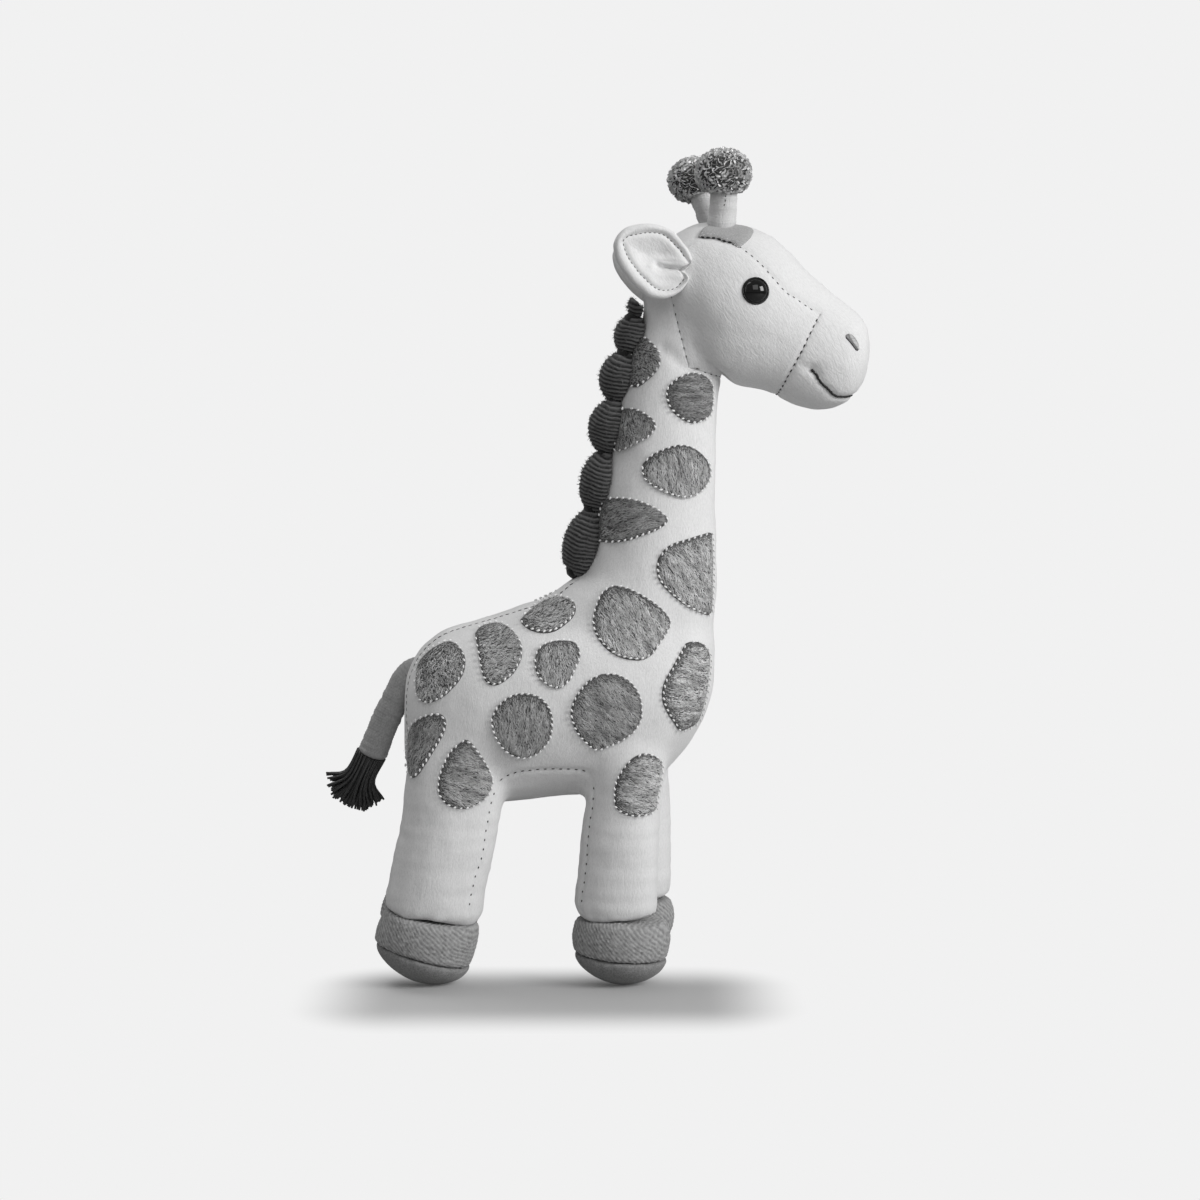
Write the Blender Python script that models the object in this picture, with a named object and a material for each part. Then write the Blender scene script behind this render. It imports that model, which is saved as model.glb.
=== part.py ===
"""Plush giraffe: a sewn and stuffed soft toy that stands on its four feet.

Frame: +X the way the giraffe faces, +Y its left side, +Z up. The origin lies on the floor under the middle
of its box. Every stuffed piece is one closed solid that stands for its fabric cover and the filling inside
it. Pieces that flex at their own sewn seam hang from an empty on that seam: the head, the ears, the horns,
the tail and its tassel.
"""

import math

import bmesh
import bpy
from mathutils import Matrix, Vector
from mathutils.bvhtree import BVHTree

MM = 0.001

# Gaps between neighbours
SEWN_GAP = 0.3 * MM
PATCH_GAP = 0.5 * MM
SWING_GAP = 0.4 * MM
CUT_OVERRUN = 5 * MM

# Torso, measured along X, Z and Y
BELLY_HEIGHT = 69 * MM
TORSO_LENGTH = 125 * MM
TORSO_HEIGHT = 83 * MM
TORSO_WIDTH = 75 * MM
TORSO_SET_BACK = 14.4 * MM
BELLY_PANEL_DEPTH = 10 * MM

# Neck, from the top of the torso to the seam that the head nods on
NECK_LENGTH = 110 * MM
NECK_THICKNESS = 46 * MM
NECK_WIDTH = 41 * MM
NECK_LEAN = 27.3 * MM
NAPE_RADIUS = 17.2 * MM
NAPE_WIDTH = 31.6 * MM

# Head and muzzle, measured along the line of the face
HEAD_LENGTH = 67.5 * MM
HEAD_HEIGHT = 60 * MM
HEAD_WIDTH = 54 * MM
MUZZLE_LENGTH = 28.4 * MM
MUZZLE_HEIGHT = 43.5 * MM
MUZZLE_WIDTH = 38.5 * MM
FACE_DROOP = math.radians(25)
NOD_LIMIT = math.radians(12)

# Legs, hooves and soles
FRONT_LEG_X = 9.8 * MM
HIND_LEG_X = -70.2 * MM
LEG_SPREAD = 21 * MM
FRONT_LEG_THICKNESS = 37 * MM
HIND_LEG_THICKNESS = 39 * MM
LEG_WIDTH = 33 * MM
HOOF_HEIGHT = 16.5 * MM
HOOF_SWELL = 0.6 * MM
SOLE_HEIGHT = 11.2 * MM
SOLE_FLAT_DEPTH = 0.5 * MM
FRONT_LEG_LEAN = math.radians(2)
FRONT_CUFF_LEAN = math.radians(-5)
FRONT_SOLE_LEAN = math.radians(5)
HIND_LEG_LEAN = math.radians(11)
HIND_CUFF_LEAN = math.radians(11)
HIND_SOLE_LEAN = math.radians(17)
LEFT_FRONT_STEP = 3 * MM
LEFT_HIND_STEP = 2 * MM

# Ears
EAR_LENGTH = 33 * MM
EAR_HEIGHT = 27.2 * MM
EAR_THICKNESS = 4.5 * MM
EAR_CUP = 4 * MM
EAR_TILT = math.radians(42)
EAR_RISE = 4 * MM
EAR_SWEEP = math.radians(22)
EAR_BACK_LIMIT = math.radians(12)
EAR_OUT_LIMIT = math.radians(25)

# Horns
HORN_SPREAD = 9 * MM
HORN_LENGTH = 22.3 * MM
HORN_STEM_RADIUS = 5 * MM
HORN_BALL_RADIUS = 10.6 * MM
HORN_BALL_HEIGHT = 19 * MM
HORN_SEAT_DEPTH = 3 * MM
HORN_SPLAY = math.radians(14)
RIGHT_HORN_LEAN = math.radians(3)
LEFT_HORN_LEAN = math.radians(-15)
LEFT_HORN_SET_BACK = 4.2 * MM
HORN_LIMIT = math.radians(15)

# Mane
MANE_DEPTH = 11 * MM
MANE_WIDTH = 19 * MM

# Tail and tassel
TAIL_LENGTH = 41 * MM
TAIL_RADIUS = 6.2 * MM
TAIL_LIFT_LIMIT = math.radians(70)
TASSEL_LENGTH = 21 * MM
TASSEL_RADIUS = 12 * MM
TASSEL_DEPTH = 17 * MM
TASSEL_LEAN = math.radians(13)
TASSEL_LIMIT = math.radians(20)

# Eyes: a moulded dome on a post, held by a lock washer behind the fabric
EYE_RADIUS = 5.25 * MM
EYE_RIM_HEIGHT = 0.8 * MM
EYE_DOME_HEIGHT = 3 * MM
EYE_POST_RADIUS = 1.6 * MM
EYE_POST_LENGTH = 8 * MM
EYE_WASHER_RADIUS = 5.5 * MM
EYE_WASHER_THICKNESS = 1.2 * MM
EYE_WASHER_DEPTH = 3 * MM

# Sewn-on patches
SPOT_THICKNESS = 0.9 * MM
CROWN_LENGTH = 24 * MM
CROWN_WIDTH = 38 * MM
CROWN_THICKNESS = 0.8 * MM
NOSTRIL_LENGTH = 5.2 * MM
NOSTRIL_WIDTH = 2 * MM
NOSTRIL_THICKNESS = 0.5 * MM

# How finely round pieces are drawn
BODY_SIDES = 24
LIMB_SIDES = 20
SMALL_SIDES = 14
LOBE_SIDES = 14
SPOT_SIDES = 12
NOSTRIL_SIDES = 8
EYE_SIDES = 20
SWING_STEPS = 4
# Room that a swing needs behind its pivot, over the piece's own travel there, along and beside it
SWING_ROOM_SHARE = 1.2
SWING_SIDE_SHARE = 0.15

X, Y, Z = Vector((1, 0, 0)), Vector((0, 1, 0)), Vector((0, 0, 1))
RIGHT, LEFT = -1, 1
SIDE_NAMES = {RIGHT: "right", LEFT: "left"}

# Stations are shares of a piece's own sizes, chosen by hand from the side view.
# Torso: along its length from the rump, underside and top over its height, half width
TORSO_SHARES = (
    (0.0, 0.36, 0.48, 0.10),
    (0.012, 0.2, 0.64, 0.45),
    (0.048, 0.11, 0.735, 0.67),
    (0.128, 0.036, 0.823, 0.85),
    (0.24, 0.006, 0.886, 0.96),
    (0.384, 0.0, 0.94, 1.0),
    (0.528, 0.006, 0.976, 1.0),
    (0.688, 0.036, 1.0, 0.97),
    (0.824, 0.1, 0.976, 0.88),
    (0.92, 0.265, 0.93, 0.72),
    (0.976, 0.42, 0.86, 0.48),
    (1.0, 0.56, 0.76, 0.16),
)
# Neck: height over its length, centre over its lean, half thickness, half width
NECK_SHARES = (
    (-0.273, 0.13, 1.0, 0.95),
    (-0.2, 0.066, 1.396, 1.2),
    (-0.109, 0.037, 1.617, 1.34),
    (-0.018, 0.249, 1.426, 1.3),
    (0.073, 0.498, 1.148, 1.21),
    (0.182, 0.555, 1.072, 1.11),
    (0.345, 0.601, 1.0, 1.0),
    (0.564, 0.685, 0.9, 0.9),
    (0.773, 0.788, 0.804, 0.82),
    (0.891, 0.892, 0.763, 0.78),
)
# The stations from here up lie inside the head or near it, and the turns of the ball on top
NECK_REACHING_HEAD = 6
NAPE_TURNS = (-12, 4, 20, 36, 52, 68, 84)
# Head: along from the nape, underside and top over its height, half width
HEAD_SHARES = (
    (-0.318, 0.09, 0.19, 0.12),
    (-0.300, 0.03, 0.30, 0.36),
    (-0.255, 0.0, 0.415, 0.56),
    (-0.157, -0.03, 0.55, 0.76),
    (-0.036, -0.09, 0.645, 0.9),
    (0.104, -0.19, 0.712, 0.985),
    (0.252, -0.262, 0.725, 1.0),
    (0.361, -0.255, 0.695, 0.965),
    (0.455, -0.22, 0.657, 0.905),
    (0.542, -0.2, 0.618, 0.835),
    (0.64, -0.188, 0.583, 0.755),
    (0.68, -0.185, 0.57, 0.725),
)
# Muzzle: along from its seam, underside and top over its height, half width
MUZZLE_SHARES = (
    (0.0, -0.27, 0.775, 1.0),
    (0.15, -0.278, 0.76, 1.02),
    (0.43, -0.255, 0.725, 0.99),
    (0.65, -0.207, 0.67, 0.91),
    (0.78, -0.15, 0.593, 0.79),
    (0.9, -0.08, 0.46, 0.58),
    (0.97, 0.04, 0.32, 0.32),
    (1.0, 0.13, 0.22, 0.1),
)
# Legs: height over the leg's length above the hoof, half thickness, half width
FRONT_LEG_SHARES = (
    (0.0, 0.99, 1.0),
    (0.16, 0.985, 1.0),
    (0.38, 0.945, 0.98),
    (0.6, 0.88, 0.93),
    (0.8, 0.82, 0.8),
    (0.93, 0.66, 0.6),
    (1.0, 0.4, 0.35),
)
HIND_LEG_SHARES = (
    (0.0, 0.985, 1.0),
    (0.16, 0.99, 1.0),
    (0.38, 0.99, 0.99),
    (0.6, 1.0, 0.94),
    (0.8, 0.96, 0.82),
    (0.93, 0.76, 0.62),
    (1.0, 0.45, 0.36),
)
LEG_REACH_SHARE = 0.5
# Hoof and sole: height, half size
HOOF_SHARES = ((0.0, 0.98), (0.12, 1.0), (0.5, 1.02), (0.85, 1.0), (1.0, 0.975))
SOLE_SHARES = ((0.0, 0.24), (0.1, 0.42), (0.25, 0.62), (0.52, 0.84), (0.82, 0.96), (1.0, 0.98))
CUFF_FADE_SHARE = 0.38
# Ear: ring size and depth, from the middle of the cup over the rim to the middle of the back
EAR_SHARES = (
    (0.12, 0.0, 0.0),
    (0.5, 0.25, 0.0),
    (0.8, 0.75, 0.1),
    (0.95, 1.1, 0.3),
    (1.0, 0.95, 0.65),
    (0.93, 0.65, 1.0),
    (0.6, 0.2, 1.05),
    (0.15, 0.0, 1.0),
)
EAR_BASE_SHARES = (-0.105, 0.262)
EAR_REACH_SHARE = 0.42
EAR_SINK_SHARE = 0.35
# Mane: where one lobe meets the next, over the neck's length, and each lobe's depth and width
MANE_CREASE_SHARES = (0.062, 0.302, 0.515, 0.699, 0.868, 1.0, 1.075)
LOBE_DEPTH_SHARES = (0.99, 0.9, 0.97, 0.97, 0.78, 0.52)
LOBE_WIDTH_SHARES = (1.08, 1.05, 1.0, 0.95, 0.85, 0.66)
LOBE_ALONG_SHARE = 1.12
# Tail: centre line from its root, back and down over its length, and radius
TAIL_ROOT_SHARE = 0.665
TAIL_SHARES = (
    (0.16, -0.05, 0.75),
    (0.04, -0.12, 1.0),
    (-0.1, -0.22, 1.03),
    (-0.2, -0.44, 1.0),
    (-0.3, -0.7, 0.94),
    (-0.39, -0.93, 0.91),
    (-0.405, -0.97, 0.78),
    (-0.416, -1.0, 0.45),
)
TAIL_KNOT_SHARE = 0.9
TAIL_IN_TASSEL = 5
TASSEL_SHARES = (
    (0.1, 0.58),
    (0.22, 0.72),
    (0.45, 0.92),
    (0.75, 1.0),
    (0.93, 0.93),
    (1.0, 0.62),
)
# Places on the head: along the face and up, as shares of the head's length and height
EYE_PLACE_SHARES = (0.286, 0.323)
HORN_PLACE_SHARE = 0.205
CROWN_PLACE_SHARE = 0.23
NOSTRIL_PLACE_SHARES = (0.927, 0.307)
NOSTRIL_TILT = math.radians(-58)
# A patch's rings from its middle to its rim, how far each stands up, and the least slope allowed for
PATCH_RING_SHARES = (0.08, 0.5, 0.82, 1.0)
PATCH_RISE_SHARES = (1.0, 1.0, 1.0, 0.55)
PATCH_STEEPEST_SHARE = 0.4
# Spots on each side, a generic scatter: along the torso from the rump, height over the torso,
# half length and half height over the torso's, tilt
SPOT_SHARES = {
    "rump": (0.135, 0.665, 0.078, 0.15, 20),
    "back": (0.315, 0.765, 0.08, 0.148, 10),
    "flank": (0.385, 0.425, 0.097, 0.15, 0),
    "ribs": (0.645, 0.485, 0.108, 0.17, 20),
    "shoulder": (0.73, 0.905, 0.122, 0.17, -30),
    "chest": (0.905, 0.61, 0.075, 0.2, 5),
    "thigh": (0.215, 0.2, 0.083, 0.168, 0),
}
# Spots on the neck: height over the neck, place across it and half sizes over its thickness
NECK_SPOT_SHARES = {
    "neck_low": (0.1, 0.46, 0.24, 0.33, 0),
    "neck_middle": (0.29, -0.44, 0.29, 0.19, 6),
    "neck_high": (0.46, 0.24, 0.31, 0.235, 0),
}

TORSO_REAR = -TORSO_SET_BACK - TORSO_LENGTH / 2
TORSO_TOP = BELLY_HEIGHT + TORSO_HEIGHT
NECK_FOOT_X = 8.3 * MM
PIVOT = Vector((NECK_FOOT_X + NECK_LEAN, 0, TORSO_TOP + NECK_LENGTH))


def clear_scene():
    for old in list(bpy.data.objects):
        bpy.data.objects.remove(old, do_unlink=True)


# Materials


def material(name, grey, roughness, metallic=0.0):
    made = bpy.data.materials.new(name)
    made.use_nodes = True
    shader = made.node_tree.nodes["Principled BSDF"]
    shader.inputs["Base Color"].default_value = (grey, grey, grey, 1)
    shader.inputs["Roughness"].default_value = roughness
    shader.inputs["Metallic"].default_value = metallic
    made.diffuse_color = (grey, grey, grey, 1)
    return made


# Shapes


def oval(centre, across, up, sides):
    """Points of an oval about a centre, with its two half sizes given as vectors."""
    turns = [2 * math.pi * (i + 0.5) / sides for i in range(sides)]
    return [centre + across * math.cos(t) + up * math.sin(t) for t in turns]


def add_object(name, bm, colour):
    bmesh.ops.remove_doubles(bm, verts=bm.verts, dist=SEWN_GAP / 100)
    bmesh.ops.recalc_face_normals(bm, faces=bm.faces)
    mesh = bpy.data.meshes.new(name)
    bm.to_mesh(mesh)
    bm.free()
    mesh.shade_smooth()
    if colour:
        mesh.materials.append(colour)
    made = bpy.data.objects.new(name, mesh)
    bpy.context.scene.collection.objects.link(made)
    return made


def loft(name, rings, colour):
    """A closed skin over a row of rings, with a flat cap at each end."""
    bm = bmesh.new()
    loops = []
    for points in rings:
        corners = [bm.verts.new(p) for p in points]
        loops.append([bm.edges.new((a, b)) for a, b in zip(corners, corners[1:] + corners[:1])])
    for near, far in zip(loops, loops[1:]):
        bmesh.ops.bridge_loops(bm, edges=near + far)
    for end in (loops[0], loops[-1]):
        bmesh.ops.contextual_create(bm, geom=end)
    return add_object(name, bm, colour)


def ball(name, centre, half_sizes, sides, colour):
    bm = bmesh.new()
    place = Matrix.Translation(centre) @ Matrix.Diagonal((*half_sizes, 1))
    bmesh.ops.create_uvsphere(bm, u_segments=sides, v_segments=sides * 2 // 3, radius=1, matrix=place)
    return add_object(name, bm, colour)


def turned(name, profile, sides, colour):
    """A round piece about Z, from a profile of (radius, height) that starts and ends on the axis."""
    bm = bmesh.new()
    corners = [bm.verts.new((radius, 0, height)) for radius, height in profile]
    edges = [bm.edges.new(pair) for pair in zip(corners, corners[1:])]
    bmesh.ops.spin(
        bm, geom=corners + edges, cent=(0, 0, 0), axis=Z, steps=sides, angle=2 * math.pi, use_merge=True
    )
    return add_object(name, bm, colour)


def trimmed(piece, point, normal):
    """Cuts off what lies beyond a plane and closes the cut with a flat face."""
    bm = bmesh.new()
    bm.from_mesh(piece.data)
    cut = bmesh.ops.bisect_plane(
        bm, geom=bm.verts[:] + bm.edges[:] + bm.faces[:], plane_co=point, plane_no=normal, clear_outer=True
    )
    rim = [item for item in cut["geom_cut"] if isinstance(item, bmesh.types.BMEdge)]
    bmesh.ops.contextual_create(bm, geom=rim)
    bmesh.ops.recalc_face_normals(bm, faces=bm.faces)
    bm.to_mesh(piece.data)
    bm.free()
    return piece


def as_cutter(piece):
    piece.hide_render = True
    piece.display_type = "WIRE"
    return piece


def grown(piece, gap):
    """A cutter a little larger than a piece all round, before any cut that the piece itself gets."""
    bm = bmesh.new()
    bm.from_mesh(piece.data)
    bm.normal_update()
    for corner in bm.verts:
        corner.co += corner.normal * gap
    return as_cutter(add_object(piece.name + "_cutter", bm, None))


def cut(piece, cutter):
    step = piece.modifiers.new(cutter.name, "BOOLEAN")
    step.operation = "DIFFERENCE"
    step.solver = "EXACT"
    step.object = cutter


def turned_about(cutter, pivot, axis, angle):
    copy = cutter.copy()
    copy.matrix_world = Matrix.Translation(pivot) @ Matrix.Rotation(angle, 4, axis) @ Matrix.Translation(-pivot)
    bpy.context.scene.collection.objects.link(copy)
    return copy


def free_to_swing(piece, neighbour_cutter, pivot, axis, lowest, highest):
    """Cuts a swinging piece by its neighbour, as the neighbour lies from it all through the swing."""
    for step in range(SWING_STEPS + 1):
        angle = lowest + (highest - lowest) * step / SWING_STEPS
        cut(piece, turned_about(neighbour_cutter, pivot, axis, -angle))


def swing_cutter(name, stations, pivot, run, limit, sides):
    """A cutter round a piece that a neighbour swings on: as wide as the swing needs behind the pivot."""
    rings = []
    rise = (stations[-1][0] - pivot).dot(run)
    for centre, across, half, half_y in stations:
        behind = max(0, (pivot - centre).dot(run)) * math.sin(limit)
        room = SWING_GAP + behind * SWING_ROOM_SHARE
        room_y = SWING_GAP + behind * SWING_SIDE_SHARE
        centre = centre + run * SWING_GAP * max(0, (centre - pivot).dot(run)) / rise
        rings.append(oval(centre, across * (half + room), Y * (half_y + room_y), sides))
    first, last = rings[0], rings[-1]
    start = [corner - run * SWING_GAP for corner in first]
    end = [corner + run * SWING_GAP for corner in last]
    return as_cutter(loft(name, [start, *rings, end], None))


def hinge(name, pivot):
    empty = bpy.data.objects.new(name, None)
    empty.location = pivot
    bpy.context.scene.collection.objects.link(empty)
    return empty


def hang(empty, *pieces):
    """Gives pieces their origin on a seam, and hangs them from it."""
    for piece in pieces:
        piece.data.transform(Matrix.Translation(-empty.location))
        piece.parent = empty


def hang_hinge(child, parent):
    child.location -= parent.location
    child.parent = parent


def between(table, at):
    """A row of a table of shares, read off between its stations."""
    for low, high in zip(table, table[1:]):
        if at <= high[0]:
            part = (at - low[0]) / (high[0] - low[0])
            return [a + (b - a) * part for a, b in zip(low, high)]
    return list(table[-1])


# Torso


def torso_rings():
    rings = []
    for along, under, top, width in TORSO_SHARES:
        centre = Vector((
            TORSO_REAR + TORSO_LENGTH * along,
            0,
            BELLY_HEIGHT + TORSO_HEIGHT * (under + top) / 2,
        ))
        up = Z * TORSO_HEIGHT * (top - under) / 2
        rings.append(oval(centre, Y * TORSO_WIDTH / 2 * width, up, BODY_SIDES))
    return rings


def build_torso(cloth):
    whole = loft("torso", torso_rings(), cloth)
    cutter = grown(whole, SEWN_GAP)
    belly = loft("belly_panel", torso_rings(), cloth)
    seam = Vector((0, 0, BELLY_HEIGHT + BELLY_PANEL_DEPTH))
    trimmed(belly, seam - Z * SEWN_GAP / 2, Z)
    trimmed(whole, seam + Z * SEWN_GAP / 2, -Z)
    return whole, belly, cutter


# Neck


def neck_station(height):
    """The neck's centre and half sizes at a height over its length, up to the head's pivot."""
    if height > NECK_SHARES[-1][0]:
        rise = min(NAPE_RADIUS, abs(height - 1) * NECK_LENGTH)
        half = math.sqrt(NAPE_RADIUS**2 - rise**2)
        centre = PIVOT + Z * NECK_LENGTH * (height - 1)
        return centre, half, half * NAPE_WIDTH / 2 / NAPE_RADIUS
    _, lean, thickness, width = between(NECK_SHARES, height)
    centre = Vector((NECK_FOOT_X + NECK_LEAN * lean, 0, TORSO_TOP + NECK_LENGTH * height))
    return centre, NECK_THICKNESS / 2 * thickness, NECK_WIDTH / 2 * width


def neck_back(height):
    centre, half, _ = neck_station(height)
    return centre - X * half


def build_neck(cloth, torso_cutter):
    stations = []
    for height, *_ in NECK_SHARES:
        centre, half_x, half_y = neck_station(height)
        stations.append((centre, X, half_x, half_y))
    for turn in NAPE_TURNS:
        angle = math.radians(turn)
        half = NAPE_RADIUS * math.cos(angle)
        centre = PIVOT + Z * NAPE_RADIUS * math.sin(angle)
        stations.append((centre, X, half, half * NAPE_WIDTH / 2 / NAPE_RADIUS))
    rings = [oval(centre, X * half_x, Y * half_y, BODY_SIDES) for centre, _, half_x, half_y in stations]
    neck = loft("neck", rings, cloth)
    cutter = grown(neck, SWING_GAP)
    socket = swing_cutter("neck_socket", stations[NECK_REACHING_HEAD:], PIVOT, Z, NOD_LIMIT, BODY_SIDES)
    cut(neck, torso_cutter)
    return neck, cutter, socket


# Head


def face_directions():
    ahead = Vector((math.cos(FACE_DROOP), 0, -math.sin(FACE_DROOP)))
    return ahead, Vector((math.sin(FACE_DROOP), 0, math.cos(FACE_DROOP)))


def face_rings(shares, start, length, height, width):
    ahead, up = face_directions()
    rings = []
    for along, under, top, side in shares:
        centre = PIVOT + ahead * (start + length * along) + up * height * (under + top) / 2
        rings.append(oval(centre, Y * width / 2 * side, up * height * (top - under) / 2, BODY_SIDES))
    return rings


def build_head(cloth, neck_socket):
    head = loft("head", face_rings(HEAD_SHARES, 0, HEAD_LENGTH, HEAD_HEIGHT, HEAD_WIDTH), cloth)
    seam = HEAD_LENGTH * HEAD_SHARES[-1][0] + SEWN_GAP
    muzzle = loft(
        "muzzle", face_rings(MUZZLE_SHARES, seam, MUZZLE_LENGTH, MUZZLE_HEIGHT, MUZZLE_WIDTH), cloth
    )
    cutter = grown(head, SWING_GAP)
    surface = tree([head, muzzle])
    cut(head, neck_socket)
    return head, muzzle, cutter, surface


def face_point(along_share, up_share):
    ahead, up = face_directions()
    return PIVOT + ahead * HEAD_LENGTH * along_share + up * HEAD_HEIGHT * up_share


# Surfaces that patches and eyes are laid on


def tree(pieces):
    bm = bmesh.new()
    for piece in pieces:
        bm.from_mesh(piece.data)
    made = BVHTree.FromBMesh(bm)
    bm.free()
    return made


def touch(surface, point, outward):
    """Where a line from outside meets a surface, and the surface's normal there."""
    reach = TORSO_LENGTH + HEAD_LENGTH
    place, normal, _, _ = surface.ray_cast(point + outward * reach, -outward)
    if place is None:
        return surface.find_nearest(point)[:2]
    return place, normal if normal.dot(outward) > 0 else -normal


def bulge(surface, rings, outward):
    """How far a surface stands out between the points that a patch takes from it."""
    most = 0
    for ring, wider in zip(rings, rings[1:] + rings[-1:]):
        for number, corner in enumerate(ring):
            for other in (ring[number - 1], wider[number], wider[number - 1]):
                middle = (corner + other) / 2
                most = max(most, (touch(surface, middle, outward)[0] - middle).dot(outward))
    return most


def patch(name, surface, centre, half_a, half_b, outward, thickness, colour, sides=SPOT_SIDES):
    """A thin cloth patch that follows a surface: rings go in under it and come back over it."""
    rings = []
    for size in PATCH_RING_SHARES:
        spots = oval(centre, half_a * size, half_b * size, sides)
        rings.append([touch(surface, spot, outward) for spot in spots])
    lift = PATCH_GAP + bulge(surface, [[place for place, _ in ring] for ring in rings], outward)
    under, over = [], []
    for ring, rise in zip(rings, PATCH_RISE_SHARES):
        low, high = [], []
        for place, normal in ring:
            stretch = 1 / max(PATCH_STEEPEST_SHARE, normal.dot(outward))
            low.append(place + outward * lift * stretch)
            high.append(place + outward * (lift + thickness * rise) * stretch)
        under.append(low)
        over.append(high)
    return loft(name, under + over[::-1], colour)


# Legs


def leg_rings(shares, leg, start, length, swell, leans):
    """Rings up a leg's centre line, whose own lean goes from one angle to another over their run."""
    foot, axis, half = leg
    rings = []
    for row in shares:
        rise, thickness, width = (*row, row[1])[:3]
        lean = leans[0] + (leans[1] - leans[0]) * min(rise / leans[2], 1)
        ahead = Vector((math.cos(lean), 0, -math.sin(lean)))
        half_x = (half + swell) * thickness
        half_y = (LEG_WIDTH / 2 + swell) * width
        rings.append(oval(foot + axis * (start + length * rise), ahead * half_x, Y * half_y, LIMB_SIDES))
    return rings


def build_leg(front, side, cloths, torso_cutter):
    label = ("front_" if front else "hind_") + SIDE_NAMES[side]
    if front:
        lean, cuff_lean, sole_lean = FRONT_LEG_LEAN, FRONT_CUFF_LEAN, FRONT_SOLE_LEAN
        foot = Vector((FRONT_LEG_X, LEG_SPREAD * side, 0))
        half, shares, step = FRONT_LEG_THICKNESS / 2, FRONT_LEG_SHARES, LEFT_FRONT_STEP
    else:
        lean, cuff_lean, sole_lean = HIND_LEG_LEAN, HIND_CUFF_LEAN, HIND_SOLE_LEAN
        foot = Vector((HIND_LEG_X, LEG_SPREAD * side, 0))
        half, shares, step = HIND_LEG_THICKNESS / 2, HIND_LEG_SHARES, -LEFT_HIND_STEP
    if side == LEFT:
        foot.x += step
    leg = foot, Vector((math.sin(lean), 0, math.cos(lean))), half
    level = (sole_lean, sole_lean, 1)
    lowest = min(p.z for ring in leg_rings(SOLE_SHARES, leg, 0, SOLE_HEIGHT, HOOF_SWELL, level) for p in ring)
    foot.z -= lowest + SOLE_FLAT_DEPTH
    rings = leg_rings(SOLE_SHARES, leg, 0, SOLE_HEIGHT, HOOF_SWELL, level)
    trimmed(loft(f"sole_{label}", rings, cloths["sole"]), Vector((0, 0, 0)), -Z)
    hoof_start = SOLE_HEIGHT + SEWN_GAP
    turn = (sole_lean, cuff_lean, 1)
    loft(f"hoof_{label}", leg_rings(HOOF_SHARES, leg, hoof_start, HOOF_HEIGHT, HOOF_SWELL, turn), cloths["hoof"])
    start = hoof_start + HOOF_HEIGHT + SEWN_GAP
    length = BELLY_HEIGHT + TORSO_HEIGHT * LEG_REACH_SHARE - start
    turn = (cuff_lean, lean, CUFF_FADE_SHARE)
    upper = loft(f"leg_{label}", leg_rings(shares, leg, start, length, 0, turn), cloths["body"])
    cut(upper, torso_cutter)
    return upper


# Ears


def build_ear(side, cloth, head_cutter, surface, head_hinge):
    """A cupped ear: an oval tilted in the plane that sweeps out from the side of the head."""
    back = Vector((-math.cos(EAR_SWEEP), side * math.sin(EAR_SWEEP), 0))
    out = Vector((math.sin(EAR_SWEEP), side * math.cos(EAR_SWEEP), 0))
    longer = (back * math.cos(EAR_TILT) + Z * math.sin(EAR_TILT)) * EAR_LENGTH / 2
    shorter = (Z * math.cos(EAR_TILT) - back * math.sin(EAR_TILT)) * EAR_HEIGHT / 2
    seat, _ = touch(surface, face_point(*EAR_BASE_SHARES), Y * side)
    pivot = seat + Y * side * SEWN_GAP
    centre = pivot + back * EAR_LENGTH * EAR_REACH_SHARE + Z * EAR_RISE - out * EAR_CUP * EAR_SINK_SHARE
    rings = []
    for size, rise, depth in EAR_SHARES:
        level = out * (EAR_CUP * rise - EAR_THICKNESS * depth)
        rings.append(oval(centre + level, longer * size, shorter * size, LIMB_SIDES))
    ear = loft(f"ear_{SIDE_NAMES[side]}", rings, cloth)
    axis = Z * -side
    free_to_swing(ear, head_cutter, pivot, axis, -EAR_BACK_LIMIT, EAR_OUT_LIMIT)
    seam = hinge(f"ear_seam_{SIDE_NAMES[side]}", pivot)
    hang(seam, ear)
    hang_hinge(seam, head_hinge)
    return ear


# Horns


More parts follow.
